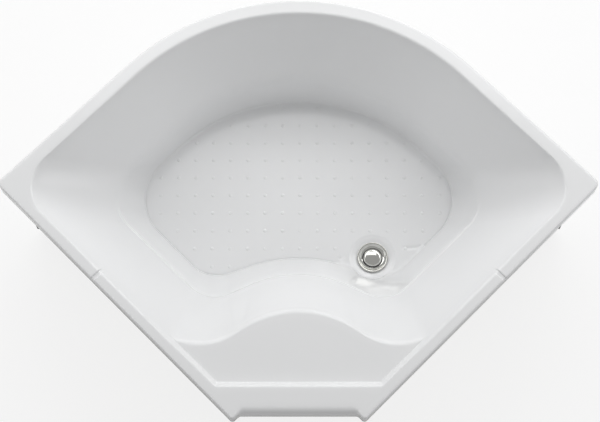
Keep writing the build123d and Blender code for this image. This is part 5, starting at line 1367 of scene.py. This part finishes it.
class TRAY_OT_stage(Operator):
    """Set the floor, the soft lamps and the camera at the photograph's angle"""

    bl_idname = "shower_tray.stage"
    bl_label = "Floor, lamps and camera"

    def execute(self, context):
        stage, scene = context.scene.shower_tray.stage, context.scene
        scene.view_settings.view_transform = "Standard"
        scene.world = bpy.data.worlds.new("studio")
        scene.world.use_nodes = True
        sky = Graph(scene.world.node_tree)
        rays = sky.add("ShaderNodeLightPath").outputs
        plain, glossy, white = (
            sky.add("ShaderNodeBackground", values={"Color": (1, 1, 1), "Strength": level}).outputs[0]
            for level in (stage.sky, stage.gloss, 1.0))
        seen = sky.add("ShaderNodeMath", {"operation": "MAXIMUM"}, {
            0: rays["Is Camera Ray"], 1: rays["Is Transmission Ray"]})
        mixed = sky.add("ShaderNodeMixShader", values={0: rays["Is Glossy Ray"], 1: plain, 2: glossy})
        mixed = sky.add("ShaderNodeMixShader", values={0: seen.outputs[0], 1: mixed.outputs[0], 2: white})
        sky.add("ShaderNodeOutputWorld", values={"Surface": mixed.outputs[0]})

        paper = bpy.data.materials.new("studio_paper")
        paper.use_nodes = True
        sheet = Graph(paper.node_tree)
        rays = sheet.add("ShaderNodeLightPath").outputs
        share = sheet.add("ShaderNodeMath", {"operation": "MULTIPLY"}, {
            0: rays["Is Camera Ray"], 1: stage.paper_white})
        matt = sheet.add("ShaderNodeBsdfDiffuse", values={"Color": (0.9, 0.9, 0.9)})
        glow = sheet.add("ShaderNodeEmission", values={"Color": (1, 1, 1), "Strength": 1.0})
        mixed = sheet.add("ShaderNodeMixShader", values={
            0: share.outputs[0], 1: matt.outputs[0], 2: glow.outputs[0]})
        sheet.add("ShaderNodeOutputMaterial", values={"Surface": mixed.outputs[0]})
        reach, floor_mesh = 6.0, bpy.data.meshes.new("studio_floor")
        corners = [(x * reach, y * reach, 0) for x, y in ((-1, -1), (1, -1), (1, 1), (-1, 1))]
        floor_mesh.from_pydata(corners, [], [(0, 1, 2, 3)])
        floor_mesh.materials.append(paper)
        floor = link_object("studio_floor", floor_mesh)

        aim, away = Vector((0, 0, 0.3)), 3.0
        for name, height, turn, wide, tall, power in (
            ("front_lamp", 18, 0, 3.0, 0.9, stage.front),
            ("front_right_lamp", 46, 36, 2.6, 1.3, stage.front_right),
            ("front_left_lamp", 46, 324, 2.6, 1.3, stage.front_left),
            ("right_lamp", 18, 90, 1.5, 1.5, stage.side_right),
            ("left_lamp", 18, 270, 1.5, 1.5, stage.side_left),
            ("strip_lamp", 64, 0, 1.6, 0.5, stage.strip),
        ):
            data = bpy.data.lights.new(name, "AREA")
            data.shape = "RECTANGLE"
            data.size, data.size_y, data.energy = wide, tall, power
            lamp = link_object(name, data)
            level = cos(radians(height))
            way = Vector((level * sin(radians(turn)), -level * cos(radians(turn)), sin(radians(height))))
            lamp.location = aim + away * way
            lamp.rotation_mode = "QUATERNION"
            lamp.rotation_quaternion = (-way).to_track_quat("-Z", "Y")

        view = bpy.data.cameras.new("photo_view")
        view.sensor_width, view.lens = 36.0, stage.lens
        camera = link_object("photo_view", view)
        look = Vector((-0.003, 0.0215, 0.42))
        camera.location = look + Vector((0.0, 1.020, 3.294))
        camera.rotation_mode = "QUATERNION"
        camera.rotation_quaternion = (look - camera.location).to_track_quat("-Z", "Y")
        view.clip_start, view.clip_end = 0.1, 40.0
        scene.camera = camera
        return {"FINISHED"}


# Settings ---------------------------------------------------------------------------------------


def length(name, description, default):
    return FloatProperty(name=name, description=description, default=default, subtype="DISTANCE",
                         unit="LENGTH", precision=5)


def colour(name, description, default):
    return FloatVectorProperty(name=name, description=description, default=default, subtype="COLOR", min=0, max=1)


def strength(name, description, default):
    return FloatProperty(name=name, description=description, default=default, min=0)


class MouldingSizes(PropertyGroup):
    rim_edge: length("Rim edge", "Reach of the rounding along the rim's inner edge", 0.0045)
    riser_foot: length("Riser foot", "Reach of the rounding at the foot of the riser", 0.003)
    seat_edge: length("Seat edge", "Reach of the rounding along the seat's front edge", 0.009)
    well_edge: length("Well edge", "Reach of the soft bend over the well, round the front", 0.012)
    well_ledge: length("Well ledge", "Width of the ledge over the well, at the sides and back", 0.0035)
    floor_edge: length("Floor edge", "Reach of the soft bend round the floor, in front", 0.012)
    crease_width: length("Crease width", "Width of the groove round the floor, at the sides and back", 0.007)
    crease_depth: length("Crease depth", "Depth of the groove round the floor", 0.002)
    dish_blend: length("Dish blend", "Softness of the edge of the waste's dish", 0.004)
    spray_depth: length("Spray depth", "Unevenness of the sprayed glass fibre", 0.0022)


class DotSizes(PropertyGroup):
    pitch_across: length("Pitch across", "Distance between the dots from side to side", 0.0395)
    pitch_along: length("Pitch along", "Distance between the dots from front to back", 0.0420)
    middle: length("Middle", "Place of the middle column from side to side", -0.003)
    first_row: length("First row", "Place of the row nearest the front, from midway between the wing tips", -0.3127)
    radius: length("Radius", "Radius of a dot", 0.004)
    height: length("Height", "Height of a dot above the floor", 0.0007)
    margin: length("Margin", "Least distance of a dot's middle from the floor's edge", 0.012)
    waste_margin: length("Waste margin", "Least distance of a dot's middle from the waste's axis", 0.062)


class PanelSizes(PropertyGroup):
    edge: length("Edge", "Rounding of the panel's edges", 0.0012)


class WasteSizes(PropertyGroup):
    flange_edge: length("Flange edge", "Rounding of the flange's top", 0.0015)
    thread_pitch: length("Thread pitch", "Pitch of the thread on the waste's tail", 0.00231)


class FootSizes(PropertyGroup):
    thread_pitch: length("Thread pitch", "Pitch of the spindles' thread", 0.00175)


class FinishColours(PropertyGroup):
    acrylic: colour("Acrylic", "Colour of the moulding", (0.86, 0.865, 0.87))
    panel: colour("Panel", "Colour of the front panel", (0.85, 0.855, 0.86))
    glass_fibre: colour("Glass fibre", "Colour of the sprayed backing", (0.62, 0.60, 0.50))
    chipboard: colour("Chipboard", "Colour of the boards", (0.46, 0.33, 0.19))
    timber: colour("Timber", "Colour of the blocks", (0.58, 0.42, 0.24))
    steel: colour("Frame steel", "Colour of the galvanised frame", (0.52, 0.54, 0.55))
    chrome: colour("Chrome", "Colour of the waste's plating", (0.60, 0.60, 0.57))


class StageSettings(PropertyGroup):
    sky: strength("Sky", "Light from all round", 0.4)
    gloss: strength("Gloss", "Brightness of the surroundings in glossy reflections", 0.48)
    paper_white: strength("Paper white", "Share of plain white in the floor as the camera sees it", 0.8)
    front: strength("Front lamp", "Power of the wide low lamp in front", 18.2)
    front_right: strength("Front right lamp", "Power of the raised lamp in front on the right", 19.9)
    front_left: strength("Front left lamp", "Power of the raised lamp in front on the left", 26.0)
    side_right: strength("Right lamp", "Power of the low lamp on the right", 4.5)
    side_left: strength("Left lamp", "Power of the low lamp on the left", 7.0)
    strip: strength("Strip lamp", "Power of the narrow lamp high in front", 3.5)
    lens: FloatProperty(name="Lens", description="Focal length that frames the tray as in the photograph",
                        default=99.0, unit="CAMERA")


class TraySettings(PropertyGroup):
    moulding: PointerProperty(type=MouldingSizes, name="Moulding", description="Roundings of the moulding")
    dots: PointerProperty(type=DotSizes, name="Grip dots", description="Layout of the grip dots")
    panel: PointerProperty(type=PanelSizes, name="Front panel", description="Edges of the front panel")
    waste: PointerProperty(type=WasteSizes, name="Waste", description="Details of the waste")
    feet: PointerProperty(type=FootSizes, name="Feet", description="Details of the feet")
    colours: PointerProperty(type=FinishColours, name="Colours", description="Colours of the finishes")
    stage: PointerProperty(type=StageSettings, name="Stage", description="Lamps, floor and camera")


STEPS = (TRAY_OT_finishes, TRAY_OT_moulding, TRAY_OT_backing, TRAY_OT_dots, TRAY_OT_front_panel, TRAY_OT_waste,
         TRAY_OT_feet, TRAY_OT_fasteners, TRAY_OT_stage)


class TRAY_PT_steps(Panel):
    """Lists the steps and their settings"""

    bl_label = "Shower Tray"
    bl_idname = "TRAY_PT_steps"
    bl_space_type = "VIEW_3D"
    bl_region_type = "UI"
    bl_category = "Shower Tray"

    def draw(self, context):
        for step in STEPS:
            self.layout.operator(step.bl_idname, text=step.bl_label)
        settings = context.scene.shower_tray
        for group in settings.bl_rna.properties.keys():
            if group not in ("rna_type", "name"):
                box = self.layout.box()
                part = getattr(settings, group)
                box.label(text=settings.bl_rna.properties[group].name)
                for entry in part.bl_rna.properties.keys():
                    if entry not in ("rna_type", "name"):
                        box.prop(part, entry)


CLASSES = (MouldingSizes, DotSizes, PanelSizes, WasteSizes, FootSizes, FinishColours, StageSettings, TraySettings,
           *STEPS, TRAY_PT_steps)


def register():
    for each in CLASSES:
        bpy.utils.register_class(each)
    bpy.types.Scene.shower_tray = PointerProperty(type=TraySettings)


def unregister():
    del bpy.types.Scene.shower_tray
    for each in reversed(CLASSES):
        bpy.utils.unregister_class(each)


def main():
    """Builds the whole scene."""
    register()
    for step in STEPS:
        group, name = step.bl_idname.split(".")
        getattr(getattr(bpy.ops, group), name)()


if __name__ == "__main__":
    main()
